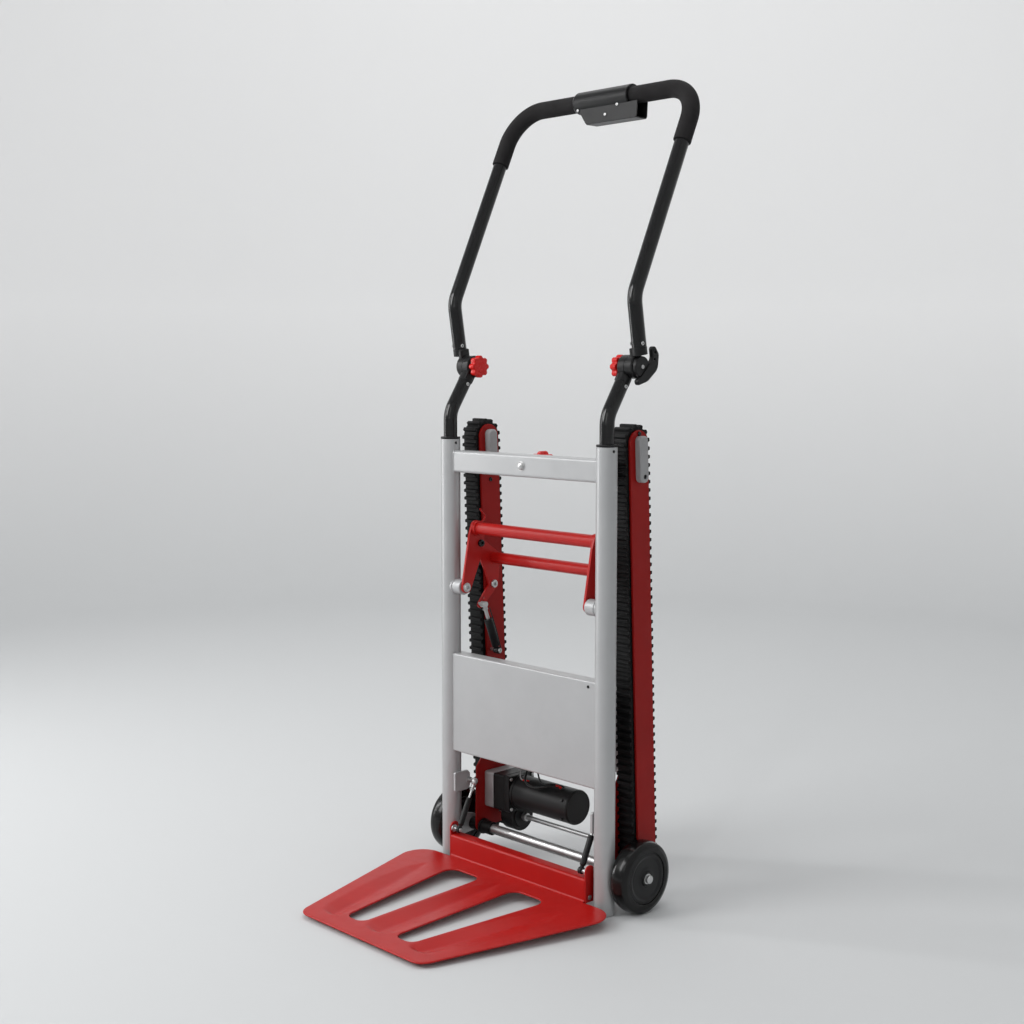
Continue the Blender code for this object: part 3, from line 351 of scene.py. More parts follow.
def soft_profile(points, closed=False):
    """(radius, distance) points from (radius, distance, corner radius) in millimetres."""
    path = rounded([((r * MM, d * MM), corner * MM) for r, d, corner in points], closed, step=22)
    return [(point.x, point.y) for point in path]


def rod(radius, start, end, sides=40, edge=0.5 * MM):
    """A round bar from start to end, with softened ends."""
    start = Vector(start)
    length = (Vector(end) - start).length
    corners = [((0, 0), 0), ((radius, 0), edge), ((radius, length), edge), ((0, length), 0)]
    profile = [(point.x, point.y) for point in rounded(corners, closed=False, step=30)]
    return turned(profile, start, Vector(end) - start, sides)


def ring(outer, inner, start, end, sides=48, edge=0.4 * MM):
    """A bush from start to end, with softened edges."""
    start = Vector(start)
    length = (Vector(end) - start).length
    corners = [((outer, 0), edge), ((outer, length), edge), ((inner, length), edge / 2),
               ((inner, 0), edge / 2)]
    profile = [(point.x, point.y) for point in rounded(corners, step=30)]
    return turned(profile, start, Vector(end) - start, sides, ring=True)


def sweep(path, sections, sides):
    """Rows of points round a path, one row for each (outer or inner) radius in each section."""
    bm = bmesh.new()
    directions = [(after - before).normalized() for before, after in zip(path, path[1:])]
    middles = [(one + two).normalized() for one, two in zip(directions, directions[1:])]
    tangents = [directions[0], *middles, directions[-1]]
    across = tangents[0].orthogonal().normalized()
    turns = [2 * math.pi * side / sides for side in range(sides)]
    rows = []
    for index, (point, tangent) in enumerate(zip(path, tangents)):
        if index:
            across = tangents[index - 1].rotation_difference(tangent) @ across
        other = tangent.cross(across)
        radii = sections[index] if isinstance(sections, list) else sections
        rows.append([[bm.verts.new(point + radius * (across * math.cos(t) + other * math.sin(t)))
                      for t in turns] for radius in radii])
    for layer in range(len(rows[0])):
        for one, two in zip(rows, rows[1:]):
            for side in range(sides):
                after = (side + 1) % sides
                bm.faces.new((one[layer][side], one[layer][after], two[layer][after], two[layer][side]))
    return bm, rows


def pipe(path, outer, inner, sides=40):
    """An open-ended tube along a path. Its rings turn with the path and don't twist."""
    bm, rows = sweep(path, (outer, inner), sides)
    for end in (rows[0], rows[-1]):
        for side in range(sides):
            after = (side + 1) % sides
            bm.faces.new((end[0][side], end[0][after], end[1][after], end[1][side]))
    return bm


def wire(path, radius, sides=14):
    """A solid wire along a path, with flat ends."""
    bm, rows = sweep(path, (radius,), sides)
    bm.faces.new(rows[0][0])
    bm.faces.new(rows[-1][0])
    return bm


def smooth_route(points, parts=6):
    """Points on a smooth curve through the route's own points."""
    ends = [points[0] * 2 - points[1], *points, points[-1] * 2 - points[-2]]
    route = []
    for a, b, c, d in zip(ends, ends[1:], ends[2:], ends[3:]):
        for part in range(parts):
            t = part / parts
            route.append(0.5 * (2 * b + (c - a) * t + (2 * a - 5 * b + 4 * c - d) * t ** 2
                                + (3 * b - a - 3 * c + d) * t ** 3))
    return [*route, points[-1]]


def route_of(*points):
    """A smooth route through (X, depth, height) points in millimetres."""
    return smooth_route([Vector((x * MM, *at(depth, height))) for x, depth, height in points])


def bolt(point, axis, radius, height, socket=0.52):
    """A low cap screw standing on a point, with a hex socket in its head."""
    r, h = radius / MM, height / MM
    profile = soft_profile([(0, 0, 0), (r, 0, 0), (r, h, min(0.45 * h, 0.25 * r)), (r * socket, h, 0)])
    first = len(profile)
    deep = max(0.15, h - 0.9 * r * socket)
    profile += [(socket * radius, height), (0.94 * socket * radius, height - 0.1 * MM),
                (0.94 * socket * radius, deep * MM), (0, deep * MM)]
    return turned(profile, point, axis, 36, hexed=range(first, first + 3))


def gather(*shapes):
    """One bmesh of several."""
    first, *others = shapes
    for other in others:
        mesh = bpy.data.meshes.new("part")
        other.to_mesh(mesh)
        other.free()
        first.from_mesh(mesh)
        bpy.data.meshes.remove(mesh)
    return first


def show(name, shape, body, slot, crease=32):
    """Makes a piece of a bmesh that rides on a body, in a slot's finish."""
    bmesh.ops.recalc_face_normals(shape, faces=shape.faces[:])
    mesh = bpy.data.meshes.new(name)
    shape.to_mesh(mesh)
    shape.free()
    mesh.materials.append(FINISH[slot])
    mesh.shade_smooth()
    mesh.set_sharp_from_angle(angle=math.radians(crease))
    made = bpy.data.objects.new(name, mesh)
    bpy.context.scene.collection.objects.link(made)
    weighted = made.modifiers.new("normals", "WEIGHTED_NORMAL")
    weighted.keep_sharp = True
    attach(made, body)
    return made


def skin(node, *shapes, crease=32):
    """The piece that stands for a CAD node."""
    made = show(f"{node}_skin", gather(*shapes), BODY_OF[node], SLOT_OF[node], crease)
    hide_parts(node)
    return made


def detail(name, node, slot, *shapes, crease=32):
    """A small piece that rides with a CAD node."""
    return show(name, gather(*shapes), BODY_OF[node], slot, crease)


def along_x(side, near, far, pivot):
    """The two ends of a line along X through a (Y, Z) pivot, on one side of the middle."""
    return (side * near, *pivot), (side * far, *pivot)


def x_range(side, span):
    """A pair of X values for one side, lowest first."""
    return sorted((side * span[0], side * span[1]))


def between(start, end, distance):
    """The (Y, Z) point at a distance from start towards end."""
    return Vector(start) + (Vector(end) - Vector(start)).normalized() * distance


# ---------------------------------------------------------------- frame

def make_post(name, side):
    """An upright with its welded arm boss, axle bracket and strut bracket with ball stud."""
    x = side * POST_X
    tube = ring(POST_RADIUS, POST_RADIUS - POST_WALL, (x, POST_Y, POST_FOOT), (x, POST_Y, POST_TOP), 96,
                0.7 * MM)
    boss = rod(17 * MM, *along_x(side, 187 * MM, 222 * MM, ARM_PIVOT), edge=2.2 * MM)
    bead = ring(18.6 * MM, 16 * MM, *along_x(side, 210.5 * MM, 213.5 * MM, ARM_PIVOT), edge=1.2 * MM)
    bracket_corners = [(at(15, 52), 0), (at(77, 58), 16 * MM), (at(77, 92), 16 * MM), (at(15, 110), 0)]
    bracket = slab(rounded(bracket_corners), *x_range(side, (229 * MM, 235 * MM)),
                   holes=[circle(AXLE, WHEEL_BORE)])
    cheek_corners = [(at(-14, 165), 4 * MM), (at(24, 165), 6 * MM), (at(31, 172), 2 * MM),
                     (at(31, 202), 2 * MM), (at(24, 209), 2 * MM), (at(-14, 209), 4 * MM)]
    cheek = slab(rounded(cheek_corners), *x_range(side, (205 * MM, 211 * MM)), edge=0.9 * MM)
    skin(f"post_{name}", tube, boss, bead, bracket, cheek)
    stud = rod(4 * MM, *along_x(side, 192 * MM, 207 * MM, STRUT_TOP))
    collar = ring(7 * MM, 3.5 * MM, *along_x(side, 201 * MM, 205 * MM, STRUT_TOP))
    detail(f"strut_stud_{name}", f"post_{name}", "bright_steel", stud, collar)
    hole = (x + 21.2 * MM, *at(-3, 945))
    detail(f"post_screw_{name}", f"post_{name}", "gloss_black_paint", bolt(hole, (1, 0, 0), 3 * MM, 1 * MM))


def coped(outer, inner, name):
    """A bar along X with a hollow section, shaped to fit against the round posts."""
    def reach(depth):
        off = abs(depth - POST_Y)
        if off >= POST_RADIUS + GAP:
            return POST_X - 18 * MM
        return POST_X - math.sqrt((POST_RADIUS + GAP) ** 2 - off ** 2)

    bm = bmesh.new()
    rings = []
    for loop in (outer, inner):
        rows = []
        for share in (-1, -0.34, 0.34, 1):
            rows.append([bm.verts.new((share * min(reach(p.x), POST_X - 15 * MM), p.x, p.y)) for p in loop])
        for one, two in zip(rows, rows[1:]):
            for index in range(len(loop)):
                after = (index + 1) % len(loop)
                bm.faces.new((one[index], one[after], two[after], two[index]))
        rings.append(rows)
    for end in (0, -1):
        out, within = rings[0][end], rings[1][end]
        for index in range(len(out)):
            after = (index + 1) % len(out)
            bm.faces.new((out[index], out[after], within[after], within[index]))
    skin(name, bm)


def make_crossbar():
    """A rounded rectangular tube with a domed bolt through its middle, and weld beads at its ends."""
    front, back = -10.4, 29.6
    low, high = CROSSBAR_BOTTOM / MM, CROSSBAR_TOP / MM
    corners = [(at(front, low), 6 * MM), (at(back, low), 6 * MM), (at(back, high), 6 * MM),
               (at(front, high), 6 * MM)]
    outer = densify(rounded(corners), 1.5 * MM)
    coped(outer, inset(outer, 2 * MM), "top_crossbar")
    for name, side in SIDES:
        beads = []
        for height in (low + 0.3, high - 0.3):
            beads.append([(side * (POST_X - math.sqrt(POST_RADIUS ** 2 - (d * MM) ** 2)), *at(d, height))
                          for d in range(16, -9, -2)])
        face = [(side * 213.2 * MM, *at(front + 0.2, low + 5 + step * 3)) for step in range(13)]
        path = [Vector(p) for p in beads[1] + face[::-1] + beads[0][::-1]]
        detail(f"crossbar_weld_{name}", "top_crossbar", "silver_paint", wire(path, 1.1 * MM, 10))
    head = soft_profile([(0, 0, 0), (4.5, 0.2, 0), (7.6, 2.2, 3), (8.5, 5, 1), (8.5, 6, 0.3), (4, 6, 0),
                         (4, 50, 0.4), (0, 50, 0)])
    start = (0, POST_Y - 16.7 * MM, CROSSBAR_MIDDLE)
    washer = ring(10.5 * MM, 4.2 * MM, (0, POST_Y - 11.6 * MM, CROSSBAR_MIDDLE),
                  (0, POST_Y - 10.5 * MM, CROSSBAR_MIDDLE))
    skin("crossbar_bolt", turned(head, start, (0, 1, 0)), washer)


def make_panel():
    """A folded sheet: a flat front with its top and bottom edges bent back."""
    sheet, front, back = 2.5, -12, 18
    low, high = PANEL_BOTTOM / MM, PANEL_TOP / MM
    corners = [(at(front, low), 4 * MM), (at(back, low), 0), (at(back, low + sheet), 0),
               (at(front + sheet, low + sheet), 1.5 * MM), (at(front + sheet, high - sheet), 1.5 * MM),
               (at(back, high - sheet), 0), (at(back, high), 0), (at(front, high), 4 * MM)]
    outline = densify(rounded(corners, step=12), 2.5 * MM)
    bm = bmesh.new()
    rows = []
    for share in (-1, 1):
        row = []
        for point in outline:
            off = min(abs(point.x - POST_Y), POST_RADIUS)
            reach = POST_X - math.sqrt((POST_RADIUS + GAP) ** 2 - off ** 2)
            row.append(bm.verts.new((share * reach, point.x, point.y)))
        rows.append(row)
        for triangle in tessellate_polygon([outline]):
            bm.faces.new([row[index] for index in triangle])
    for index in range(len(outline)):
        after = (index + 1) % len(outline)
        bm.faces.new((rows[0][index], rows[0][after], rows[1][after], rows[1][index]))
    skin("backrest_panel", bm)
    screw = bolt((196 * MM, POST_Y - 12 * MM, (high - 12) * MM), (0, -1, 0), 3.2 * MM, 1.2 * MM)
    detail("panel_screw", "backrest_panel", "gloss_black_paint", screw)


def make_axle():
    """The wheel axle, stepped up to a thick middle between the posts, with a head outside each wheel."""
    half = [(0, 304, 0), (8.5, 304, 1.2), (8.5, 298.5, 0), (8, 298.5, 0), (8, 226, 0), (11, 226, 1)]
    profile = [(r, -d, c) for r, d, c in half] + half[::-1]
    skin("wheel_axle", turned(soft_profile(profile), (0, *AXLE), (1, 0, 0)))
    for name, side in SIDES:
        screw = bolt((side * 303.6 * MM, *AXLE), (side, 0, 0), 6.2 * MM, 0.9 * MM, 0.6)
        detail(f"axle_screw_{name}", "wheel_axle", "bright_steel", screw)
        sleeve = ring(14 * MM, 10.6 * MM, *along_x(side, 205 * MM, 226 * MM, AXLE))
        clip = ring(16.5 * MM, 10.6 * MM, *along_x(side, 203.2 * MM, 204.6 * MM, AXLE))
        detail(f"axle_sleeve_{name}", "wheel_axle", "motor_black", sleeve, clip)
    rod_ends = (-207.8 * MM, *TOE_HINGE), (207.8 * MM, *TOE_HINGE)
    skin("toe_hinge_rod", rod(5 * MM, *rod_ends))


def make_lower_handle(name, side):
    """The handle's lower tube, held in the post, its plastic collar and the lower half of the hinge."""
    x = side * POST_X
    bend = at(0, 1012)
    end = between(HANDLE_PIVOT, bend, TUBE_START)
    corners = [((x, POST_Y, 850 * MM), 0), ((x, *bend), 60 * MM), ((x, *end), 0)]
    path = rounded(corners, closed=False, step=3)
    skin(f"handle_tube_lower_{name}", pipe(path, TUBE_RADIUS, TUBE_RADIUS - TUBE_WALL, 48))
    foot, top = (x, POST_Y, POST_TOP + GAP), (x, POST_Y, POST_TOP + 5 * MM)
    skin(f"post_collar_{name}", ring(POST_RADIUS, TUBE_RADIUS + GAP, foot, top, 64, 1.4 * MM))
    profile = soft_profile([(5, 219, 0), (20, 219, 3), (HUB_RADIUS / MM, 221.5, 1.5),
                            (HUB_RADIUS / MM, 238.4, 0.8),
                            (5, 238.4, 0)], closed=True)
    profile = [(r, side * d) for r, d in profile]
    disc = turned(profile, (0, *HANDLE_PIVOT), (1, 0, 0), 72, ring=True)
    skin(f"hinge_lower_{name}", disc, *socket(x, bend, x_range(side, (219.5 * MM, 238 * MM))))
    rivets(f"lower_rivet_{name}", f"hinge_lower_{name}", x, at(38.5, 1072.5))


def socket(x, towards, neck_span):
    """A hinge's neck and the collar that takes the tube, which point towards a (Y, Z) point."""
    direction = (Vector(towards) - Vector(HANDLE_PIVOT)).normalized()
    across = Vector((-direction.y, direction.x)) * 12.5 * MM
    pivot = Vector(HANDLE_PIVOT)
    neck_end = pivot + direction * (TUBE_START - 1.2 * MM)
    corners = [(pivot + across, 0), (neck_end + across, 2 * MM), (neck_end - across, 2 * MM),
               (pivot - across, 0)]
    neck = slab(rounded(corners), *neck_span, edge=2.5 * MM)
    start = pivot + direction * 24 * MM
    end = pivot + direction * (TUBE_START - GAP)
    return neck, rod(15.4 * MM, (x, *start), (x, *end), 48, 0.8 * MM)


def rivets(name, node, x, spot):
    """A bright eyelet with a dark middle on the outer and inner face of a handle tube."""
    rims, middles = [], []
    for way in (-1, 1):
        point = (x + way * (TUBE_RADIUS - 0.3 * MM), *spot)
        profile = soft_profile([(1.7, 0, 0), (3.9, 0, 0), (3.9, 0.8, 0.4), (1.7, 1.1, 0.4)], closed=True)
        rims.append(turned(profile, point, (way, 0, 0), 32, ring=True))
        middles.append(turned([(0, 0.5 * MM), (1.8 * MM, 0.6 * MM), (1.8 * MM, 0), (0, 0)], point,
                              (way, 0, 0), 24))
    detail(name, node, "bright_steel", *rims)
    detail(f"{name}_middle", node, "black_plastic", *middles)


# ---------------------------------------------------------------- knobs, lever and wheels

def star(centre, radius, lobes, depth, count=160):
    """A lobed knob outline in 2D, with broad lobes and narrow valleys."""
    points = []
    for index in range(count):
        turn = 2 * math.pi * index / count
        wave = 0.5 - 0.5 * math.cos(lobes * turn)
        reach = radius - depth * wave ** 1.6
        points.append(Vector((centre[0] + reach * math.cos(turn), centre[1] + reach * math.sin(turn), 0)))
    return points


def make_side_knob(name, side):
    """A star knob on the inner side of the handle hinge, with the clamp screw through both halves."""
    grip = slab(star(HANDLE_PIVOT, 24.5 * MM, 8, 4.5 * MM), side * 201 * MM, side * 216 * MM, edge=2.6 * MM)
    cap = rod(13 * MM, *along_x(side, 200.2 * MM, 203 * MM, HANDLE_PIVOT), edge=1.4 * MM)
    skin(f"knob_{name}", grip, cap)
    neck = rod(11 * MM, *along_x(side, 214 * MM, 218.7 * MM, HANDLE_PIVOT))
    screw = rod(4 * MM, *along_x(side, 216 * MM, 258 * MM, HANDLE_PIVOT))
    detail(f"knob_bush_{name}", f"knob_{name}", "bright_steel", neck, screw)


def make_centre_knob():
    """The star knob behind the crossbar, turning on the bolt."""
    knob = slab(star((0, CROSSBAR_MIDDLE), 29 * MM, 8, 5.5 * MM), POST_Y + 42 * MM, POST_Y + 66 * MM, "Y",
                edge=3 * MM)
    cap = rod(14 * MM, (0, POST_Y + 64 * MM, CROSSBAR_MIDDLE), (0, POST_Y + 66.8 * MM, CROSSBAR_MIDDLE),
              edge=1.4 * MM)
    neck = ring(12 * MM, 4.4 * MM, (0, POST_Y + 30 * MM, CROSSBAR_MIDDLE),
                (0, POST_Y + 44 * MM, CROSSBAR_MIDDLE))
    skin("centre_knob", knob, cap, neck)


def make_lock_lever():
    """A curved lever on a disc, outside the right hinge."""
    disc = rod(21 * MM, *along_x(1, 259.4 * MM, 268 * MM, HANDLE_PIVOT), sides=72, edge=1.6 * MM)
    corners = [(at(58, 1092), 6 * MM), (at(44, 1084), 6 * MM), (at(50, 1074), 5 * MM),
               (at(78, 1082), 24 * MM), (at(108, 1106), 22 * MM), (at(111, 1136), 10 * MM),
               (at(99, 1153), 8 * MM), (at(88, 1150), 6 * MM), (at(92, 1128), 14 * MM),
               (at(78, 1112), 10 * MM)]
    holes = [circle(at(99, 1140), 2.6 * MM, 24), circle(at(97, 1126), 2.2 * MM, 24)]
    arm = slab(rounded(corners), 261 * MM, 271 * MM, holes=holes, edge=2 * MM)
    skin("lock_lever", disc, arm)
    screw = bolt((267.9 * MM, *HANDLE_PIVOT), (1, 0, 0), 4 * MM, 1.6 * MM, 0.6)
    detail("lock_lever_screw", "lock_lever", "bright_steel", screw)


def make_wheel(name, side):
    """A tyre with rounded shoulders, and a plastic centre with a dished web on each face."""
    middle = (WHEEL_X[0] + WHEEL_X[1]) / 2
    place = (side * middle, *AXLE)
    tread = [(53.3, -19.6, 0.5), (54.6, -20.4, 0.6), (63, -20.4, 5), (72.6, -16.5, 6), (75, -6, 14)]
    loop = tread + [(r, -d, c) for r, d, c in reversed(tread)]
    skin(f"tyre_{name}", turned(soft_profile(loop, closed=True), place, (1, 0, 0), 128, ring=True))
    face = [(8.3, -21, 0.4), (14.5, -21, 1), (15.5, -17.6, 1.5), (24, -16.6, 6), (41, -16.4, 5),
            (46.5, -18.8, 1.5), (51.5, -18.8, 1.2), (53, -17.8, 0.4)]
    loop = face + [(r, -d, c) for r, d, c in reversed(face)]
    skin(f"wheel_centre_{name}", turned(soft_profile(loop, closed=True), place, (1, 0, 0), 96, ring=True))
    hub = []
    for way in (-1, 1):
        profile = soft_profile([(8.4, 20.6, 0), (10.6, 20.6, 0), (10.6, 21.6, 0.4), (8.4, 21.9, 0.2)],
                               closed=True)
        hub.append(turned([(r, way * d) for r, d in profile], place, (1, 0, 0), 48, ring=True))
    detail(f"wheel_hub_{name}", f"wheel_centre_{name}", "bright_steel", *hub)


# ---------------------------------------------------------------- tracks

LENGTH = (Vector(IDLER) - Vector(SPROCKET)).length


def track_axes():
    """Unit vectors up the track from sprocket to idler, and square to it towards the front."""
    up = (Vector(IDLER) - Vector(SPROCKET)).normalized()
    return up, Vector((-up.y, up.x))


def track_point(distance, forward):
    """(Y, Z) at a distance up the track's centre line from the sprocket, and forward of it."""
    up, front = track_axes()
    return tuple(Vector(SPROCKET) + up * distance + front * forward)


def stadium(radius, step=6):
    """The outline round both pulleys, at a radius."""
    ends = ((-radius, radius), (LENGTH + radius, radius), (LENGTH + radius, -radius), (-radius, -radius))
    return rounded([(track_point(distance, forward), radius) for distance, forward in ends], step=step)


def belt_outline():
    """The belt's outer edge, with a lug every pitch."""
    lap = 2 * LENGTH + 2 * math.pi * BELT_OUTER_RADIUS
    lugs = round(lap / LUG_PITCH)
    up, front = track_axes()

    def on_loop(distance, height):
        """A point at a distance round the loop, from the sprocket up the front, and a height over it."""
        distance %= lap
        reach = BELT_OUTER_RADIUS + height
        half_turn = math.pi * BELT_OUTER_RADIUS
        if distance < LENGTH:
            return Vector(SPROCKET) + up * distance + front * reach
        if distance < LENGTH + half_turn:
            turn = (distance - LENGTH) / BELT_OUTER_RADIUS
            return Vector(IDLER) + front * reach * math.cos(turn) + up * reach * math.sin(turn)
        if distance < 2 * LENGTH + half_turn:
            return Vector(IDLER) - up * (distance - LENGTH - half_turn) - front * reach
        turn = (distance - 2 * LENGTH - half_turn) / BELT_OUTER_RADIUS
        return Vector(SPROCKET) - front * reach * math.cos(turn) - up * reach * math.sin(turn)

    pitch = lap / lugs
    shape = ((0.0, 0.0), (0.04, 0.35), (0.08, 0.88), (0.13, 1.0), (0.27, 1.0), (0.41, 1.0), (0.46, 0.88),
             (0.52, 0.35), (0.57, 0.0), (0.78, -0.02))
    outline = []
    for lug in range(lugs):
        for share, height in shape:
            outline.append(on_loop((lug + share - 0.07) * pitch, height * LUG_HEIGHT).to_3d())
    return outline


def make_inner_plate(name, side):
    """The plate on the track's inner face, with its pivot studs. Its foot widens to reach the wheel axle."""
    half = PLATE_HALF_WIDTH
    corners = [(track_point(LENGTH + half, half), half), (track_point(LENGTH + half, -half), half),
               (track_point(-half, -half), half), (track_point(-half, half), 20 * MM),
               (at(40, 56), 17.5 * MM), (at(42.5, 214), 14 * MM), (track_point(165 * MM, half), 30 * MM)]
    holes = [circle(AXLE, 11.3 * MM), circle(SPROCKET, 7 * MM)]
    node = f"track_plate_inner_{name}"
    skin(node, slab(rounded(corners, step=5), side * INNER_PLATE_X[0], side * INNER_PLATE_X[1], holes=holes,
                    edge=0.9 * MM))
    stud = rod(6 * MM, *along_x(side, 186.5 * MM, 196 * MM, LINK_PIVOT))
    head = bolt((side * 186.7 * MM, *LINK_PIVOT), (-side, 0, 0), 9 * MM, 3.7 * MM, 0.5)
    shapes = [stud, head]
    if side < 0:
        shapes.append(rod(4 * MM, (SPRING_X + 8 * MM, *SPRING_ANCHOR), (-196 * MM, *SPRING_ANCHOR)))
        shapes.append(bolt((SPRING_X + 7.6 * MM, *SPRING_ANCHOR), (1, 0, 0), 5.2 * MM, 2.2 * MM, 0.55))
    detail(f"link_stud_{name}", node, "bright_steel", *shapes)
    screws = []
    for distance in (220 * MM, 300 * MM, LENGTH - 96 * MM):
        screws.append(bolt((side * 194.1 * MM, *track_point(distance, 0)), (-side, 0, 0), 4.5 * MM, 2 * MM))
    detail(f"inner_plate_screws_{name}", node, "gloss_black_paint", *screws)


def make_outer_plate(name, side):
    """The plate on the track's outer face, with the idler's pin welded to it."""
    node = f"track_plate_outer_{name}"
    skin(node, slab(stadium(PLATE_HALF_WIDTH, 4), side * OUTER_PLATE_X[0], side * OUTER_PLATE_X[1],
                    holes=[circle(SPROCKET, 7 * MM)], edge=0.9 * MM))
    pin = rod(6 * MM, *along_x(side, 199.4 * MM, 243 * MM, IDLER))
    detail(f"idler_pin_{name}", node, "bright_steel", pin)
    slot_at = track_point(LENGTH + 20.5 * MM, 0)
    block = rod(4.4 * MM, (side * 245.5 * MM, *slot_at), (side * 248.6 * MM, *slot_at), edge=1 * MM)
    cross = bolt((side * 248.4 * MM, *slot_at), (side, 0, 0), 3 * MM, 0.8 * MM, 0.6)
    detail(f"tension_screw_{name}", node, "gloss_black_paint", block, cross)


def make_belt(name, side):
    """A rubber belt with a lug every pitch, round both pulleys."""
    shape = slab(belt_outline(), side * BELT_X[0], side * BELT_X[1], holes=[stadium(BELT_INNER_RADIUS)],
                 edge=0.7 * MM)
    skin(f"track_belt_{name}", shape)


def pulley_outline(centre, teeth=14, depth=2.2 * MM):
    """A toothed pulley's edge."""
    points = []
    for tooth in range(teeth):
        for share, drop in ((0, 0), (0.2, -0.02), (0.4, 0), (0.55, 1), (0.7, 1.03), (0.85, 1)):
            turn = 2 * math.pi * (tooth + share) / teeth
            spoke = Vector((math.cos(turn), math.sin(turn), 0))
            points.append(Vector(centre).to_3d() + (27 * MM - drop * depth) * spoke)
    return points


def make_pulleys(name, side):
    """The driving sprocket on the drive shaft, and the idler on its pin."""
    for node, centre, bore in (("sprocket", SPROCKET, SHAFT_RADIUS + GAP), ("idler", IDLER, 6.3 * MM)):
        wheel = slab(pulley_outline(centre), side * 201 * MM, side * 239 * MM, holes=[circle(centre, bore)])
        skin(f"{node}_{name}", wheel)


def make_tension_cap(node, span, face):
    """A grey cover with a softly chamfered rim over the belt tensioner, on a face of a track."""
    low, high, half = LENGTH - 78 * MM, LENGTH + 16 * MM, 12.5 * MM

    def outline(pull):
        ends = ((low + pull, half - pull), (high - pull, half - pull), (high - pull, pull - half),
                (low + pull, pull - half))
        return rounded([(track_point(distance, forward), 11 * MM - pull) for distance, forward in ends])

    base, top = span
    layers = [(base, 0), (top - face * 3 * MM, 0), (top - face * 2.4 * MM, 0.25),
              (top - face * 0.6 * MM, 2.4),
              (top - face * 0.1 * MM, 3.2), (top, 4)]
    centre = track_point(low + 12 * MM, 0)
    bm = bmesh.new()
    rows = []
    for index, (x, pull) in enumerate(layers):
        rows.append([bm.verts.new((x, p.x, p.y)) for p in outline(pull * MM if index > 1 else 0)])
    for one, two in zip(rows, rows[1:]):
        for index in range(len(one)):
            after = (index + 1) % len(one)
            bm.faces.new((one[index], one[after], two[after], two[index]))
    bm.faces.new(rows[0])
    hole = circle(centre, 5 * MM, 32)
    rim = [bm.verts.new((top, p.x, p.y)) for p in hole]
    floor = [bm.verts.new((top - face * 8 * MM, p.x, p.y)) for p in hole]
    verts = rows[-1] + rim
    for triangle in tessellate_polygon([outline(4 * MM), hole]):
        bm.faces.new([verts[index] for index in triangle])
    for index in range(len(hole)):
        after = (index + 1) % len(hole)
        bm.faces.new((rim[index], rim[after], floor[after], floor[index]))
    bm.faces.new(floor)
    skin(node, bm)
    start = (top - face * 7.8 * MM, *centre)
    plug = turned([(0, 5 * MM), (4.8 * MM, 5.4 * MM), (4.8 * MM, 0), (0, 0)], start, (face, 0, 0), 32)
    detail(f"{node}_hole", node, "black_plastic", plug)


def make_tension_caps(name, side):
    outer = (side * (OUTER_PLATE_X[1] + GAP), side * (OUTER_PLATE_X[1] + 15 * MM))
    inner = (side * (INNER_PLATE_X[0] - GAP), side * (INNER_PLATE_X[0] - 15 * MM))
    make_tension_cap(f"tension_cap_outer_{name}", outer, side)
    make_tension_cap(f"tension_cap_inner_{name}", inner, -side)


# ---------------------------------------------------------------- drive and battery

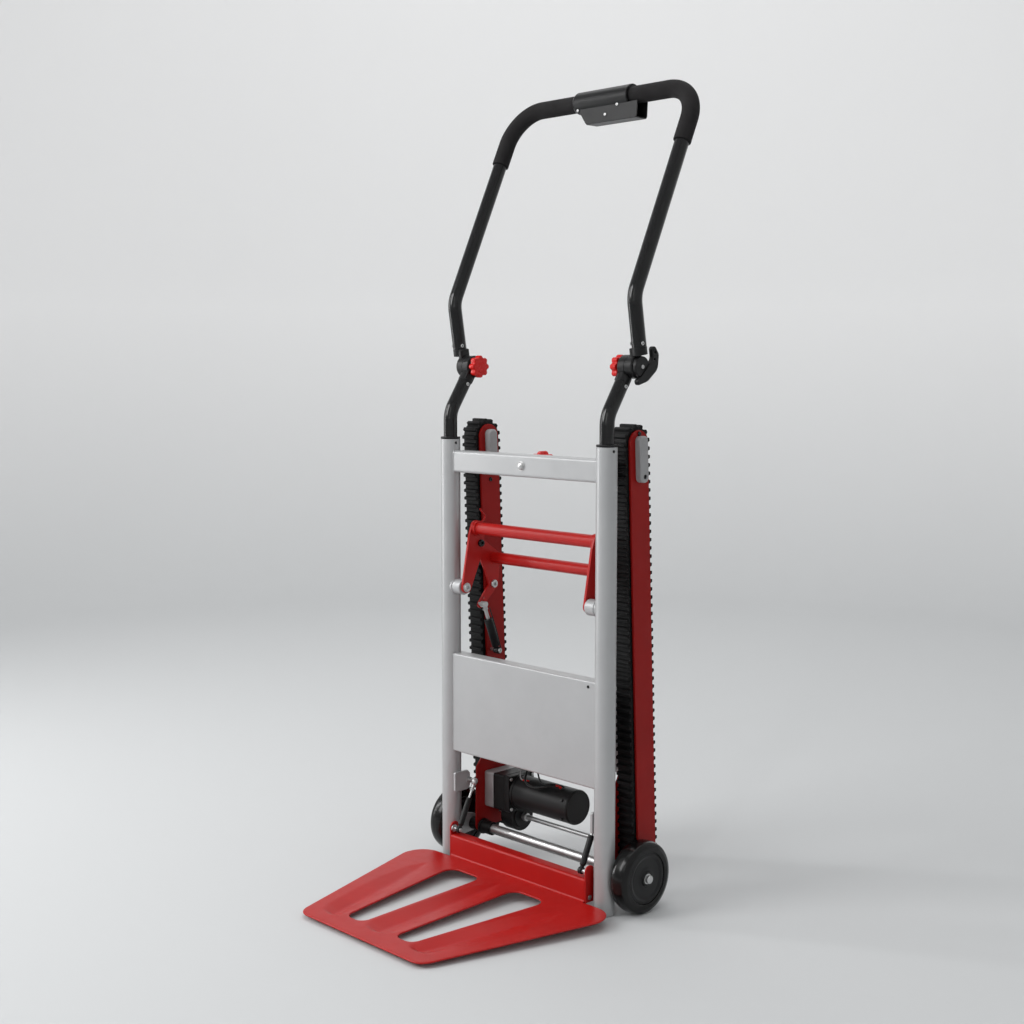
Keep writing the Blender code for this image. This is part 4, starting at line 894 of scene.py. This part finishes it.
def make_drive():
    """The motor, its square gearbox with a lobe round the drive shaft, the spacer block and the shaft."""
    motor_axis = at(105, 162)
    profile = soft_profile([(0, 0, 0), (38, 0, 1), (38, 168, 0.2), (38.4, 168.3, 0.2), (38.4, 171, 1.2),
                            (36.6, 174.7, 1.5), (34, 174.7, 0.2), (34, 174.3, 0.2), (0, 174.3, 0)])
    shell = turned(profile, (-114.7 * MM, *motor_axis), (1, 0, 0), 96)
    flange = ring(39.6 * MM, 37 * MM, (-114.7 * MM, *motor_axis), (-108 * MM, *motor_axis), 96, 1 * MM)
    skin("motor", shell, flange)
    caps = []
    for turn in (-68, -22, 150, 215):
        angle = math.radians(turn)
        spoke = Vector((0, math.cos(angle), math.sin(angle)))
        point = Vector((-98 * MM if abs(turn) < 100 else 42 * MM, *motor_axis)) + spoke * 37.6 * MM
        caps.append(rod(3.2 * MM, point, point + spoke * 3.4 * MM, 24))
    detail("motor_brush_caps", "motor", "black_plastic", *caps)

    front, back, low, high = at(65, 0)[0], at(145, 0)[0], 120 * MM, 202 * MM
    corners = [((front, low), 5 * MM), ((back, low), 5 * MM), ((back, high), 5 * MM),
               ((front, high), 5 * MM)]
    outline = rounded(corners, step=15)
    body = slab(outline, -165 * MM, -131 * MM, edge=1.2 * MM)
    cover = slab(outline, -130.4 * MM, -115 * MM, edge=2.2 * MM)
    seam = slab(inset(outline, 0.8 * MM), -132 * MM, -129 * MM)
    lobe = ring(34 * MM, SHAFT_RADIUS + GAP, (-160 * MM, *SPROCKET), (-124 * MM, *SPROCKET), 80, 1.8 * MM)
    face = ring(26 * MM, SHAFT_RADIUS + GAP, (-125 * MM, *SPROCKET), (-121.5 * MM, *SPROCKET), 64, 1 * MM)
    skin("gearbox", body, cover, seam, lobe, face)
    screws = []
    for y, z in ((front + 7 * MM, low + 7 * MM), (front + 7 * MM, high - 7 * MM),
                 (back - 7 * MM, high - 7 * MM),
                 (back - 7 * MM, low + 7 * MM)):
        screws.append(bolt((-115.1 * MM, y, z), (1, 0, 0), 3.6 * MM, 3 * MM))
    detail("gearbox_screws", "gearbox", "bright_steel", *screws)

    skin("gearbox_spacer", slab(rounded(corners, step=15), -193.7 * MM, -165.3 * MM, edge=1.5 * MM))
    half = [(0, 238, 0), (5.5, 238, 0.8)]
    profile = [(r, -d, c) for r, d, c in half]
    profile += [(5.5, -120, 0), (9, -120, 0.8), (9, -108, 0.8), (5.5, -108, 0)]
    skin("drive_shaft", turned(soft_profile(profile + half[::-1]), (0, *SPROCKET), (1, 0, 0)))
    collar = ring(8.6 * MM, 5.3 * MM, (178 * MM, *SPROCKET), (190 * MM, *SPROCKET))
    detail("shaft_bush", "drive_shaft", "motor_black", collar)
    grub = bolt((-114 * MM, SPROCKET[0], SPROCKET[1] + 8.6 * MM), (0, 0, 1), 2.4 * MM, 0.9 * MM, 0.6)
    detail("shaft_grub_screw", "drive_shaft", "gloss_black_paint", grub)


def make_pivot_sleeve(name, side):
    near, far = along_x(side, 160 * MM, 193.7 * MM, AXLE)
    collar = ring(17.5 * MM, 11.3 * MM, *along_x(side, 188 * MM, 193.7 * MM, AXLE), edge=1 * MM)
    skin(f"pivot_sleeve_{name}", ring(15 * MM, 11.3 * MM, near, far, 64, 1 * MM), collar)


def make_battery():
    """A sheet across the two tracks, and the ribbed battery and controller case behind it."""
    low, high = (-193.7 * MM, at(84, 0)[0], 270 * MM), (193.7 * MM, at(87, 0)[0], 435 * MM)
    skin("carrier_plate", box(low, high, 0.7 * MM))
    front, back = at(87, 0)[0] + GAP, at(150, 0)[0]

    def outline(pull):
        corners = [((-150 * MM + pull, front), 2 * MM), ((150 * MM - pull, front), 2 * MM),
                   ((150 * MM - pull, back - pull), 12 * MM), ((-150 * MM + pull, back - pull), 12 * MM)]
        return rounded(corners)

    lower = slab(outline(0), 265 * MM, 366 * MM, "Z", edge=3 * MM)
    upper = slab(outline(0), 369 * MM, 420 * MM, "Z", edge=3 * MM)
    seam = slab(outline(1.6 * MM), 364 * MM, 371 * MM, "Z")
    skin("battery_case", lower, upper, seam)
    ribs = []
    for index in range(9):
        x = (-96 + index * 24) * MM
        ribs.append(box((x - 2.5 * MM, back - 3 * MM, 282 * MM), (x + 2.5 * MM, back + 0.8 * MM, 350 * MM),
                        1.2 * MM))
    catch = [box((side * 104 * MM - 14 * MM, back - 3 * MM, 357 * MM),
                 (side * 104 * MM + 14 * MM, back + 1.4 * MM, 383 * MM), 1.5 * MM) for side in (-1, 1)]
    detail("battery_ribs", "battery_case", "black_plastic", *ribs, *catch)
    screws = [bolt((x * MM, back - 0.4 * MM, z * MM), (0, 1, 0), 3.4 * MM, 1.4 * MM)
              for x in (-136, 136) for z in (276, 356, 408)]
    detail("battery_screws", "battery_case", "bright_steel", *screws)
    carriers = [bolt((side * 184 * MM, at(84, 0)[0], z * MM), (0, -1, 0), 4 * MM, 2.4 * MM)
                for side in (-1, 1) for z in (281, 424)]
    detail("carrier_screws", "carrier_plate", "bright_steel", *carriers)


def make_cable():
    """The motor's lead and its second strand, each with a red heat-shrink sleeve at its terminal."""
    skin("motor_lead", wire(route_of(*CABLE_ROUTE), CABLE_RADIUS, 16))
    second = route_of((-64, 101, 266), (-62, 99, 256), (-52, 90, 236), (-34, 80, 212), (-12, 72, 206),
                      (4, 78, 208), (16, 92, 205), (24, 99, 201))
    detail("motor_lead_second", "motor_lead", "cable_black", wire(second, 1.8 * MM, 14))
    sleeves = [wire(route_of((13, 83, 205.4), (18, 89, 203), (21, 92, 200)), 3 * MM),
               wire(route_of((-80, 74, 201), (-76, 80, 199.5), (-72, 86, 198)), 1.6 * MM)]
    detail("motor_lead_sleeves", "motor_lead", "red_plastic", *sleeves)
    clip = wire(route_of((-98, 86, 222), (-94, 80, 210), (-84, 74, 202), (-74, 80, 199)), 1.3 * MM)
    detail("motor_lead_wire", "motor_lead", "grey_plastic", clip)


# ---------------------------------------------------------------- toggle linkage and gas spring

def make_arm_frame():
    """Two arms from the post bosses to the knees, with the upper bar between them."""
    bar = at(31, 757)
    shapes = [rod(13.5 * MM, (-181 * MM, *bar), (181 * MM, *bar), 64)]
    bolts = []
    for name, side in SIDES:
        corners = [(at(-14, 620), 12 * MM), (at(8, 612), 12 * MM), (at(55, 718), 11 * MM),
                   (at(50, 768), 14 * MM), (at(21, 778), 14 * MM), (at(9, 745), 20 * MM)]
        shapes.append(slab(rounded(corners), side * ARM_X[0], side * ARM_X[1], edge=0.9 * MM))
        shapes.append(ring(16.4 * MM, 13 * MM, *along_x(side, 172 * MM, 180.5 * MM, bar), edge=1.2 * MM))
        bolts.append(rod(5 * MM, *along_x(side, 180 * MM, 186.7 * MM, ARM_PIVOT)))
        bolts.append(ring(10.5 * MM, 5 * MM, *along_x(side, 178.8 * MM, 180.1 * MM, ARM_PIVOT)))
        bolts.append(bolt((side * 179 * MM, *ARM_PIVOT), (-side, 0, 0), 8.6 * MM, 3 * MM))
        knee = bolt((side * 180.2 * MM, *KNEE), (-side, 0, 0), 8 * MM, 6 * MM)
        detail(f"knee_bolt_{name}", "toggle_arm_frame", "gloss_black_paint", knee)
    skin("toggle_arm_frame", *shapes)
    detail("arm_bolts", "toggle_arm_frame", "bright_steel", *bolts)
    hook = route_of((-180, 40, 799), (-180, 47, 790), (-180, 54, 783), (-180, 52, 775), (-180, 44, 770),
                    (-180, 38, 771))
    detail("arm_hook", "toggle_arm_frame", "red_paint", wire(hook, 2 * MM))


def make_link_frame():
    """Two links from the tracks to the knees, with the lower bar between them and the gas spring's tab."""
    bar = at(90, 686)
    shapes = [rod(13 * MM, (-188 * MM, *bar), (188 * MM, *bar), 64)]
    for _, side in SIDES:
        corners = [(at(78, 612), 13 * MM), (at(101, 616), 13 * MM), (at(109, 694), 14 * MM),
                   (at(87, 709), 14 * MM), (at(46, 737), 12 * MM), (at(28, 722), 12 * MM),
                   (at(62, 660), 20 * MM)]
        shapes.append(slab(rounded(corners), side * LINK_X[0], side * LINK_X[1],
                           holes=[circle(LINK_PIVOT, 6.3 * MM)], edge=0.9 * MM))
    tab_corners = [(at(36, 580), 8 * MM), (at(50, 575), 8 * MM), (at(92, 612), 6 * MM),
                   (at(84, 640), 6 * MM)]
    tab = slab(rounded(tab_corners), -(LINK_X[0] + GAP), -(LINK_X[1] - GAP),
               holes=[circle(at(58, 597), 3 * MM, 24)])
    skin("toggle_link_frame", *shapes, tab)
    pin = rod(4 * MM, (-183.5 * MM, *SPRING_TAB), (-190 * MM, *SPRING_TAB))
    detail("spring_pin", "toggle_link_frame", "bright_steel", pin)


def make_gas_spring():
    """A cylinder with an eye on the left track, and its rod with an eye at the link's tab."""
    length = (Vector(SPRING_TAB) - Vector(SPRING_ANCHOR)).length

    def spot(distance):
        return Vector((SPRING_X, *between(SPRING_ANCHOR, SPRING_TAB, distance)))

    way = spot(1) - spot(0)
    eye = rod(8 * MM, (SPRING_X - 7 * MM, *SPRING_ANCHOR), (SPRING_X + 7 * MM, *SPRING_ANCHOR),
              edge=1.2 * MM)
    profile = soft_profile([(5, 4, 0), (5, 10, 0.5), (9.5, 12, 1.5), (9.5, 73, 0.6), (8.7, 74, 0.4),
                            (9.5, 75.2, 0.4), (9.5, 80, 2.5), (4.6, 80, 0.4), (4.6, 16, 0)], closed=True)
    skin("gas_spring_cylinder", eye, turned(profile, spot(0), way, 48, ring=True))
    piston = rod(4 * MM, spot(42 * MM), spot(length - 5 * MM))
    nut = turned([(0, 0), (6.2 * MM, 0), (6.2 * MM, 4 * MM), (0, 4 * MM)], spot(length - 13 * MM), way, 36,
                 hexed=(1, 2))
    tip = rod(7 * MM, (SPRING_X - 7 * MM, *SPRING_TAB), (SPRING_X + 7 * MM, *SPRING_TAB), edge=1.2 * MM)
    skin("gas_spring_rod", piston, nut, tip)
    lead = route_of((-163, 52, 580), (-161, 60, 556), (-160, 70, 528), (-161, 80, 500), (-164, 88, 484))
    detail("gas_spring_wire", "gas_spring_cylinder", "cable_black", wire(lead, 1.2 * MM))


# ---------------------------------------------------------------- toe plate and its struts

def flat(corners, step=9):
    """A rounded outline from (X, depth, radius) corners in millimetres."""
    return rounded([((x * MM, POST_Y + depth * MM), radius * MM) for x, depth, radius in corners], step=step)


# Each pressed valley: (X, depth, half width, how deep) along its bottom, in millimetres.
MIDDLE_VALLEY = ((0, -414, 18, 0.0), (0, -405, 34, 8.4), (0, -385, 44, 9.6), (0, -300, 46, 9.2),
                 (0, -200, 42, 7.2),
                 (0, -120, 27, 4.2), (0, -80, 6, 1.2), (0, -74, 2, 0.0))
SIDE_VALLEY = ((133, -420, 16, 0.0), (135, -411, 28, 8.2), (141, -388, 36, 9.4), (160, -305, 40, 8.8),
               (181, -215, 38, 6.8), (198, -140, 24, 4.0), (206, -103, 5, 1.2), (207, -98, 2, 0.0))
VALLEYS = (MIDDLE_VALLEY, SIDE_VALLEY, tuple((-x, d, w, s) for x, d, w, s in SIDE_VALLEY))


def press(x, y):
    """How far the toe plate is pressed down at a point, in metres."""
    most = 0.0
    for valley in VALLEYS:
        depths = [d for _, d, _, _ in valley]
        depth = (y - POST_Y) / MM
        if not depths[0] < depth < depths[-1]:
            continue
        middle, width, deep = (np.interp(depth, depths, [row[column] for row in valley])
                               for column in (0, 2, 3))
        off = abs(x / MM - middle) / width
        if off < 1:
            slope = 1 - off
            most = max(most,
                       deep * (slope if off > 0.12 else 0.88 + 0.5 * (0.12 - off) * (0.12 + off) / 0.12))
    return most * MM


def toe_level(y):
    """The height of the toe plate's top beside its valleys."""
    return TOE_TOP + TOE_RISE * (y - POST_Y - TOE_FRONT)


def toe_sheet():
    """The pressed sheet: its top and underside follow the valleys, and its rims are rounded."""
    outline = flat([(-188, -457, 34), (188, -457, 34), (312, -32, 50), (-312, -32, 50)], 5)
    slots = [flat([(side * 50, -404, 20), (side * 101, -404, 22), (side * 147, -79, 24),
                   (side * 50, -79, 24)], 9)
             for _, side in SIDES]
    rims = [densify(outline, 6 * MM)] + [densify(slot, 5 * MM) for slot in slots]
    inner_rims = [inset(rims[0], 2 * MM)] + [inset(rim, -1.8 * MM) for rim in rims[1:]]
    points, edges = [], []
    for loop in inner_rims:
        first = len(points)
        points += [Vector((p.x, p.y)) for p in loop]
        edges += [(first + index, first + (index + 1) % len(loop)) for index in range(len(loop))]
    keep = [(rim, 1 if number == 0 else -1) for number, rim in enumerate(inner_rims)]

    def inside(x, y):
        """True on the sheet and at least 3 mm from its rims."""
        for loop, sign in keep:
            crossings = False
            near = False
            for a, b in zip(loop, loop[1:] + loop[:1]):
                if (a.y > y) != (b.y > y) and x < (b.x - a.x) * (y - a.y) / (b.y - a.y) + a.x:
                    crossings = not crossings
                if (a.x - x) ** 2 + (a.y - y) ** 2 < (3 * MM) ** 2:
                    near = True
            if near or crossings != (sign > 0):
                return False
        return True

    step = 5.5 * MM
    for row in range(82):
        for column in range(-62, 63):
            x, y = (column + 0.5 * (row % 2)) * step, POST_Y - 455 * MM + row * step
            if inside(x, y):
                points.append(Vector((x, y)))
    verts, _, faces, *_ = delaunay_2d_cdt(points, edges, [], 0, 1e-7)
    bm = bmesh.new()
    tops = [bm.verts.new((p.x, p.y, toe_level(p.y) - press(p.x, p.y))) for p in verts]
    under = [bm.verts.new((p.x, p.y, max(0, toe_level(p.y) - SHEET - press(p.x, p.y)))) for p in verts]
    for face in faces:
        x = sum(verts[index].x for index in face) / 3
        y = sum(verts[index].y for index in face) / 3
        hits = []
        for loop, _ in keep:
            crossings = False
            for a, b in zip(loop, loop[1:] + loop[:1]):
                if (a.y > y) != (b.y > y) and x < (b.x - a.x) * (y - a.y) / (b.y - a.y) + a.x:
                    crossings = not crossings
            hits.append(crossings)
        if hits[0] and not any(hits[1:]):
            bm.faces.new([tops[index] for index in face])
            bm.faces.new([under[index] for index in reversed(face)])
    first = 0
    for rim, inner in zip(rims, inner_rims):
        count = len(inner)
        rows = [tops[first:first + count]]
        for share, drop in ((0.55, 0.35), (0.9, 1.1), (1.0, 2.0), (0.9, 2.9), (0.55, 3.65)):
            row = []
            for a, b in zip(inner, rim):
                spot = a.lerp(b, share)
                level = toe_level(a.y) - press(a.x, a.y) - drop * MM
                row.append(bm.verts.new((spot.x, spot.y, max(0, level))))
            rows.append(row)
        rows.append(under[first:first + count])
        for one, two in zip(rows, rows[1:]):
            for index in range(count):
                after = (index + 1) % count
                bm.faces.new((one[index], one[after], two[after], two[index]))
        first += count
    return bm


def make_toe_plate():
    """A wide pressed plate with two slots, three valleys, and a rear flange with a lip and two ears."""
    lip = (FLANGE_TOP - SHEET) / MM
    flange_corners = [(at(-29.6, 21.4), 0), (at(-29, 26.4), 3 * MM), (at(-29, FLANGE_TOP / MM), 6 * MM),
                      (at(-2, FLANGE_TOP / MM), 1 * MM), (at(-2, lip), 1 * MM), (at(-25, lip), 2 * MM),
                      (at(-25, 21.4), 0)]
    flange = slab(rounded(flange_corners, step=10), -EAR_X[0], EAR_X[0], edge=0.3 * MM)
    fold_corners = [(at(-37, 24.6), 0), (at(-29, 24.9), 6 * MM), (at(-28.4, 33), 0), (at(-26, 33), 0),
                    (at(-26, 21.6), 0), (at(-37, 21.6), 0)]
    fold = slab(rounded(fold_corners, step=10), -EAR_X[0], EAR_X[0], edge=0.3 * MM)
    shapes = [toe_sheet(), flange, fold]
    for name, side in SIDES:
        corners = [(at(-29, 22), 0), (at(8, 22), 6 * MM), (at(8, 52), 12 * MM), (at(-6, 99), 12 * MM),
                   (at(-29, 99), 12 * MM)]
        shapes.append(slab(rounded(corners), side * EAR_X[0], side * EAR_X[1],
                           holes=[circle(TOE_HINGE, 5.3 * MM)], edge=1.2 * MM))
        stud = rod(4 * MM, *along_x(side, 181 * MM, 205 * MM, STRUT_FOOT))
        washer = ring(8 * MM, 4 * MM, *along_x(side, 200.6 * MM, 203.6 * MM, STRUT_FOOT))
        head = bolt((side * 181.4 * MM, *STRUT_FOOT), (-side, 0, 0), 4.6 * MM, 2 * MM, 0.55)
        detail(f"ear_stud_{name}", "toe_plate", "bright_steel", stud, washer, head)
    skin("toe_plate", *shapes, crease=28)


def make_strut(name, side):
    """A gas strut: a cylinder with an eye on the toe plate's stud, and a rod that ends at the post's."""
    x = side * STRUT_X
    length = (Vector(STRUT_FOOT) - Vector(STRUT_TOP)).length

    def spot(distance):
        return Vector((x, *between(STRUT_TOP, STRUT_FOOT, distance)))

    way = spot(1) - spot(0)
    ball = soft_profile([(0, -7.4, 0), (5, -6.6, 2), (7.4, -1, 4), (6.4, 5, 2), (4.2, 8, 1),
                         (4.2, 15, 0.6), (0, 15, 0)])
    eye = rod(6.6 * MM, *along_x(side, 182 * MM, 191 * MM, STRUT_TOP), edge=1.5 * MM)
    piston = rod(3 * MM, spot(5 * MM), spot(88 * MM))
    nut = turned([(0, 0), (4.8 * MM, 0), (4.8 * MM, 4 * MM), (0, 4 * MM)], spot(17 * MM), way, 36,
                 hexed=(1, 2))
    skin(f"strut_rod_{name}", turned(ball, spot(0), way, 40), eye, piston, nut)
    barrel = soft_profile([(3.5, 38, 0.3), (6.5, 38, 1.4), (6.5, 43, 0.4), (6.0, 43.8, 0.3),
                           (6.5, 44.6, 0.4),
                           (6.5, length / MM - 12, 2.5), (4.4, length / MM - 9, 0.5),
                           (4.4, length / MM - 2, 0),
                           (0, length / MM - 2, 0), (0, 60, 0), (3.5, 60, 0)])
    foot = ring(7.5 * MM, 4.2 * MM, *along_x(side, 182 * MM, 191 * MM, STRUT_FOOT), edge=1.5 * MM)
    skin(f"strut_cylinder_{name}", turned(barrel, spot(0), way, 40), foot)


# ---------------------------------------------------------------- handle

def lean():
    """Unit (Y, Z) vector up the handle's upper legs."""
    return (Vector(TOP_BAR) - Vector(KINK)).normalized()


def make_handle():
    """The upper tube bent from one piece, and the foam grip round its top."""
    start = between(HANDLE_PIVOT, KINK, TUBE_START)
    left = [((-UPPER_X, *start), 0), ((-UPPER_X, *KINK), 60 * MM), ((-UPPER_X, *TOP_BAR), 80 * MM)]
    right = [((-x, y, z), radius) for (x, y, z), radius in reversed(left)]
    path = rounded(left + right, closed=False, step=4)
    skin("handle_tube_upper", pipe(path, TUBE_RADIUS, TUBE_RADIUS - TUBE_WALL, 48))
    foam_end = Vector(TOP_BAR) - lean() * 132 * MM
    corners = [((-UPPER_X, *foam_end), 0), ((-UPPER_X, *TOP_BAR), 80 * MM), ((UPPER_X, *TOP_BAR), 80 * MM),
               ((UPPER_X, *foam_end), 0)]
    path = rounded(corners, closed=False, step=4)
    path = [path[0], path[0].lerp(path[1], 0.012), path[0].lerp(path[1], 0.03), *path[1:-1],
            path[-1].lerp(path[-2], 0.03), path[-1].lerp(path[-2], 0.012), path[-1]]
    inner = TUBE_RADIUS + GAP
    ends = [(GRIP_RADIUS - 1.6 * MM, inner), (GRIP_RADIUS - 0.4 * MM, inner), (GRIP_RADIUS, inner)]
    sections = ends + [(GRIP_RADIUS, inner)] * (len(path) - 6) + ends[::-1]
    bm, rows = sweep(path, sections, 56)
    for end in (rows[0], rows[-1]):
        for side in range(56):
            after = (side + 1) % 56
            bm.faces.new((end[0][side], end[0][after], end[1][after], end[1][side]))
    skin("handle_grip", bm)


def make_upper_hinge(name, side):
    """The upper half of a handle hinge, with its round cap."""
    profile = soft_profile([(5, 238.9, 0), (24, 238.9, 0.8), (24, 256.4, 1.4), (21, 259, 1.4), (5, 259, 0)],
                           closed=True)
    disc = turned([(r, side * d) for r, d in profile], (0, *HANDLE_PIVOT), (1, 0, 0), 72, ring=True)
    skin(f"hinge_upper_{name}", disc, *socket(side * UPPER_X, KINK, x_range(side, (247 * MM, 258.5 * MM))))
    rivets(f"upper_rivet_{name}", f"hinge_upper_{name}", side * UPPER_X, at(51.5, 1157))
    if side < 0:
        cap = bolt((-258.8 * MM, *HANDLE_PIVOT), (-1, 0, 0), 8 * MM, 2.4 * MM)
        detail("hinge_cap_left", "hinge_upper_left", "bright_steel", cap)


def make_control():
    """A clamp sleeve on the grip, a folded bracket under it, and the drive switch on its rear wall."""
    y, z = TOP_BAR
    profile = soft_profile([(18.8, -73, 0), (20.4, -73, 0.8), (24, -66, 2), (24, 83.5, 0.5),
                            (23.3, 84.2, 0.3),
                            (24, 84.9, 0.3), (24, 86, 0.8), (18.8, 86, 0.4)], closed=True)
    skin("control_clamp", turned(profile, (0, y, z), (1, 0, 0), 80, ring=True))
    wall, low = 2.5 * MM, z - 50 * MM
    front, back = y - 18 * MM, y + 17 * MM
    high = z - 15 * MM
    front_corners = [((-52 * MM, high), 0), ((-52 * MM, z - 24 * MM), 4 * MM), ((-34 * MM, low), 10 * MM),
                     ((110 * MM, low), 6 * MM), ((112 * MM, high), 0)]
    front_wall = slab(rounded(front_corners), front, front + wall, "Y")
    back_corners = [((-52 * MM, high), 0), ((-52 * MM, z - 24 * MM), 4 * MM), ((-34 * MM, low), 10 * MM),
                    ((110 * MM, low), 6 * MM), ((112 * MM, high), 0)]
    opening = [((-6 * MM, z - 43 * MM), 2 * MM), ((26 * MM, z - 43 * MM), 2 * MM),
               ((26 * MM, z - 27 * MM), 2 * MM),
               ((-6 * MM, z - 27 * MM), 2 * MM)]
    back_wall = slab(rounded(back_corners), back - wall, back, "Y", holes=[rounded(opening)])
    floor = box((-34 * MM, front + 0.6 * MM, low), (108 * MM, back - 0.6 * MM, low + wall), 0.8 * MM)
    skin("control_bracket", front_wall, back_wall, floor)
    screws = [bolt((x * MM, front - 0.2 * MM, z + h * MM), (0, -1, 0), 3.1 * MM, 1.6 * MM)
              for x, h in ((-58, -17), (56, -17), (22, -34))]
    detail("control_screws", "control_bracket", "bright_steel", *screws)
    # Painted shade: two thin black discs on the bracket's front stand in for the dark of holes, which are
    # not cut.
    holes = [bolt((x * MM, front, z - 46 * MM), (0, -1, 0), 2.6 * MM, 0.3 * MM) for x in (-12, 92)]
    detail("control_hole_shade_discs", "control_bracket", "cable_black", *holes)
    rocker_corners = [((back - 7 * MM, z - 42 * MM), 1 * MM), ((back + 2.2 * MM, z - 42 * MM), 1.5 * MM),
                      ((back + 1 * MM, z - 35 * MM), 6 * MM), ((back + 3 * MM, z - 28 * MM), 1.5 * MM),
                      ((back - 7 * MM, z - 28 * MM), 1 * MM)]
    skin("drive_switch", slab(rounded(rocker_corners), -5 * MM, 25 * MM, edge=0.8 * MM))


# ---------------------------------------------------------------- the whole truck

make_crossbar()
make_panel()
make_axle()
make_centre_knob()
make_lock_lever()
make_drive()
make_battery()
make_cable()
make_arm_frame()
make_link_frame()
make_gas_spring()
make_toe_plate()
make_handle()
make_control()
for side_name, side_sign in SIDES:
    make_post(side_name, side_sign)
    make_lower_handle(side_name, side_sign)
    make_side_knob(side_name, side_sign)
    make_wheel(side_name, side_sign)
    make_inner_plate(side_name, side_sign)
    make_outer_plate(side_name, side_sign)
    make_belt(side_name, side_sign)
    make_pulleys(side_name, side_sign)
    make_tension_caps(side_name, side_sign)
    make_pivot_sleeve(side_name, side_sign)
    make_strut(side_name, side_sign)
    make_upper_hinge(side_name, side_sign)


# ---------------------------------------------------------------- studio

def make_backdrop():
    """A pale floor that sweeps up into a round wall, with painted shade: dark at the floor and paler up the
    wall.
    """
    corners = [((0, 0), 0), ((5.5, 0), 1.6), ((5.5, 7), 0)]
    profile = [(point.x, point.y) for point in rounded(corners, closed=False, step=6)]
    bm = turned(profile, (0, 0, 0), (0, 0, 1), 128)
    mesh = bpy.data.meshes.new("backdrop")
    bm.to_mesh(mesh)
    bm.free()
    made = bpy.data.materials.new("backdrop_paper_painted_shade")
    made.use_nodes = True
    tree = made.node_tree
    shader = tree.nodes["Principled BSDF"]
    shader.inputs["Roughness"].default_value = 0.85
    shader.inputs["Specular IOR Level"].default_value = 0.15
    place = tree.nodes.new("ShaderNodeTexCoord")
    # Painted shade: the paper's colour runs from dark at the floor to pale up the wall, in place of the
    # light falling off.
    turn = tree.nodes.new("ShaderNodeMapping")
    turn.inputs["Rotation"].default_value = (0, math.pi / 2, 0)
    turn.inputs["Scale"].default_value = (0.7, 0.7, 0.7)
    height = tree.nodes.new("ShaderNodeTexGradient")
    tint = tree.nodes.new("ShaderNodeValToRGB")
    tint.color_ramp.elements[0].color = (0.58, 0.59, 0.595, 1)
    tint.color_ramp.elements[1].color = (0.88, 0.88, 0.88, 1)
    tree.links.new(place.outputs["Object"], turn.inputs["Vector"])
    tree.links.new(turn.outputs["Vector"], height.inputs["Vector"])
    tree.links.new(height.outputs["Fac"], tint.inputs["Fac"])
    tree.links.new(tint.outputs["Color"], shader.inputs["Base Color"])
    mesh.materials.append(made)
    mesh.shade_smooth()
    backdrop = bpy.data.objects.new("backdrop", mesh)
    bpy.context.scene.collection.objects.link(backdrop)


def make_light(name, place, target, size, power, colour=(1, 1, 1)):
    """A soft box that shines from a place to a target."""
    light = bpy.data.lights.new(name, "AREA")
    light.shape = "RECTANGLE"
    light.size, light.size_y = size
    light.energy = power
    light.color = colour
    made = bpy.data.objects.new(name, light)
    made.location = place
    made.rotation_euler = (Vector(target) - Vector(place)).to_track_quat("-Z", "Y").to_euler()
    made.visible_camera = False
    bpy.context.scene.collection.objects.link(made)


make_backdrop()
make_light("key", (-1.6, -3.2, 2.8), (0, 0, 0.8), (1.6, 2.2), 82)
make_light("strip", (-2.7, -1.5, 1.5), (0, 0, 1.0), (0.2, 2.6), 30)
make_light("line", (1.5, -2.9, 2.2), (0, 0, 1.0), (0.08, 1.8), 9)
make_light("top", (-0.2, 0.4, 4.2), (0, 0, 0.6), (3.0, 3.0), 42)
make_light("wall_wash", (-1.9, 1.9, 5.2), (-4.1, 4.0, 1.2), (3.0, 1.0), 45)
world = bpy.data.worlds.new("studio")
world.use_nodes = True
world.node_tree.nodes["Background"].inputs["Color"].default_value = (0.98, 0.99, 1.0, 1)
world.node_tree.nodes["Background"].inputs["Strength"].default_value = 0.5
bpy.context.scene.world = world
bpy.context.scene.view_settings.view_transform = "Standard"
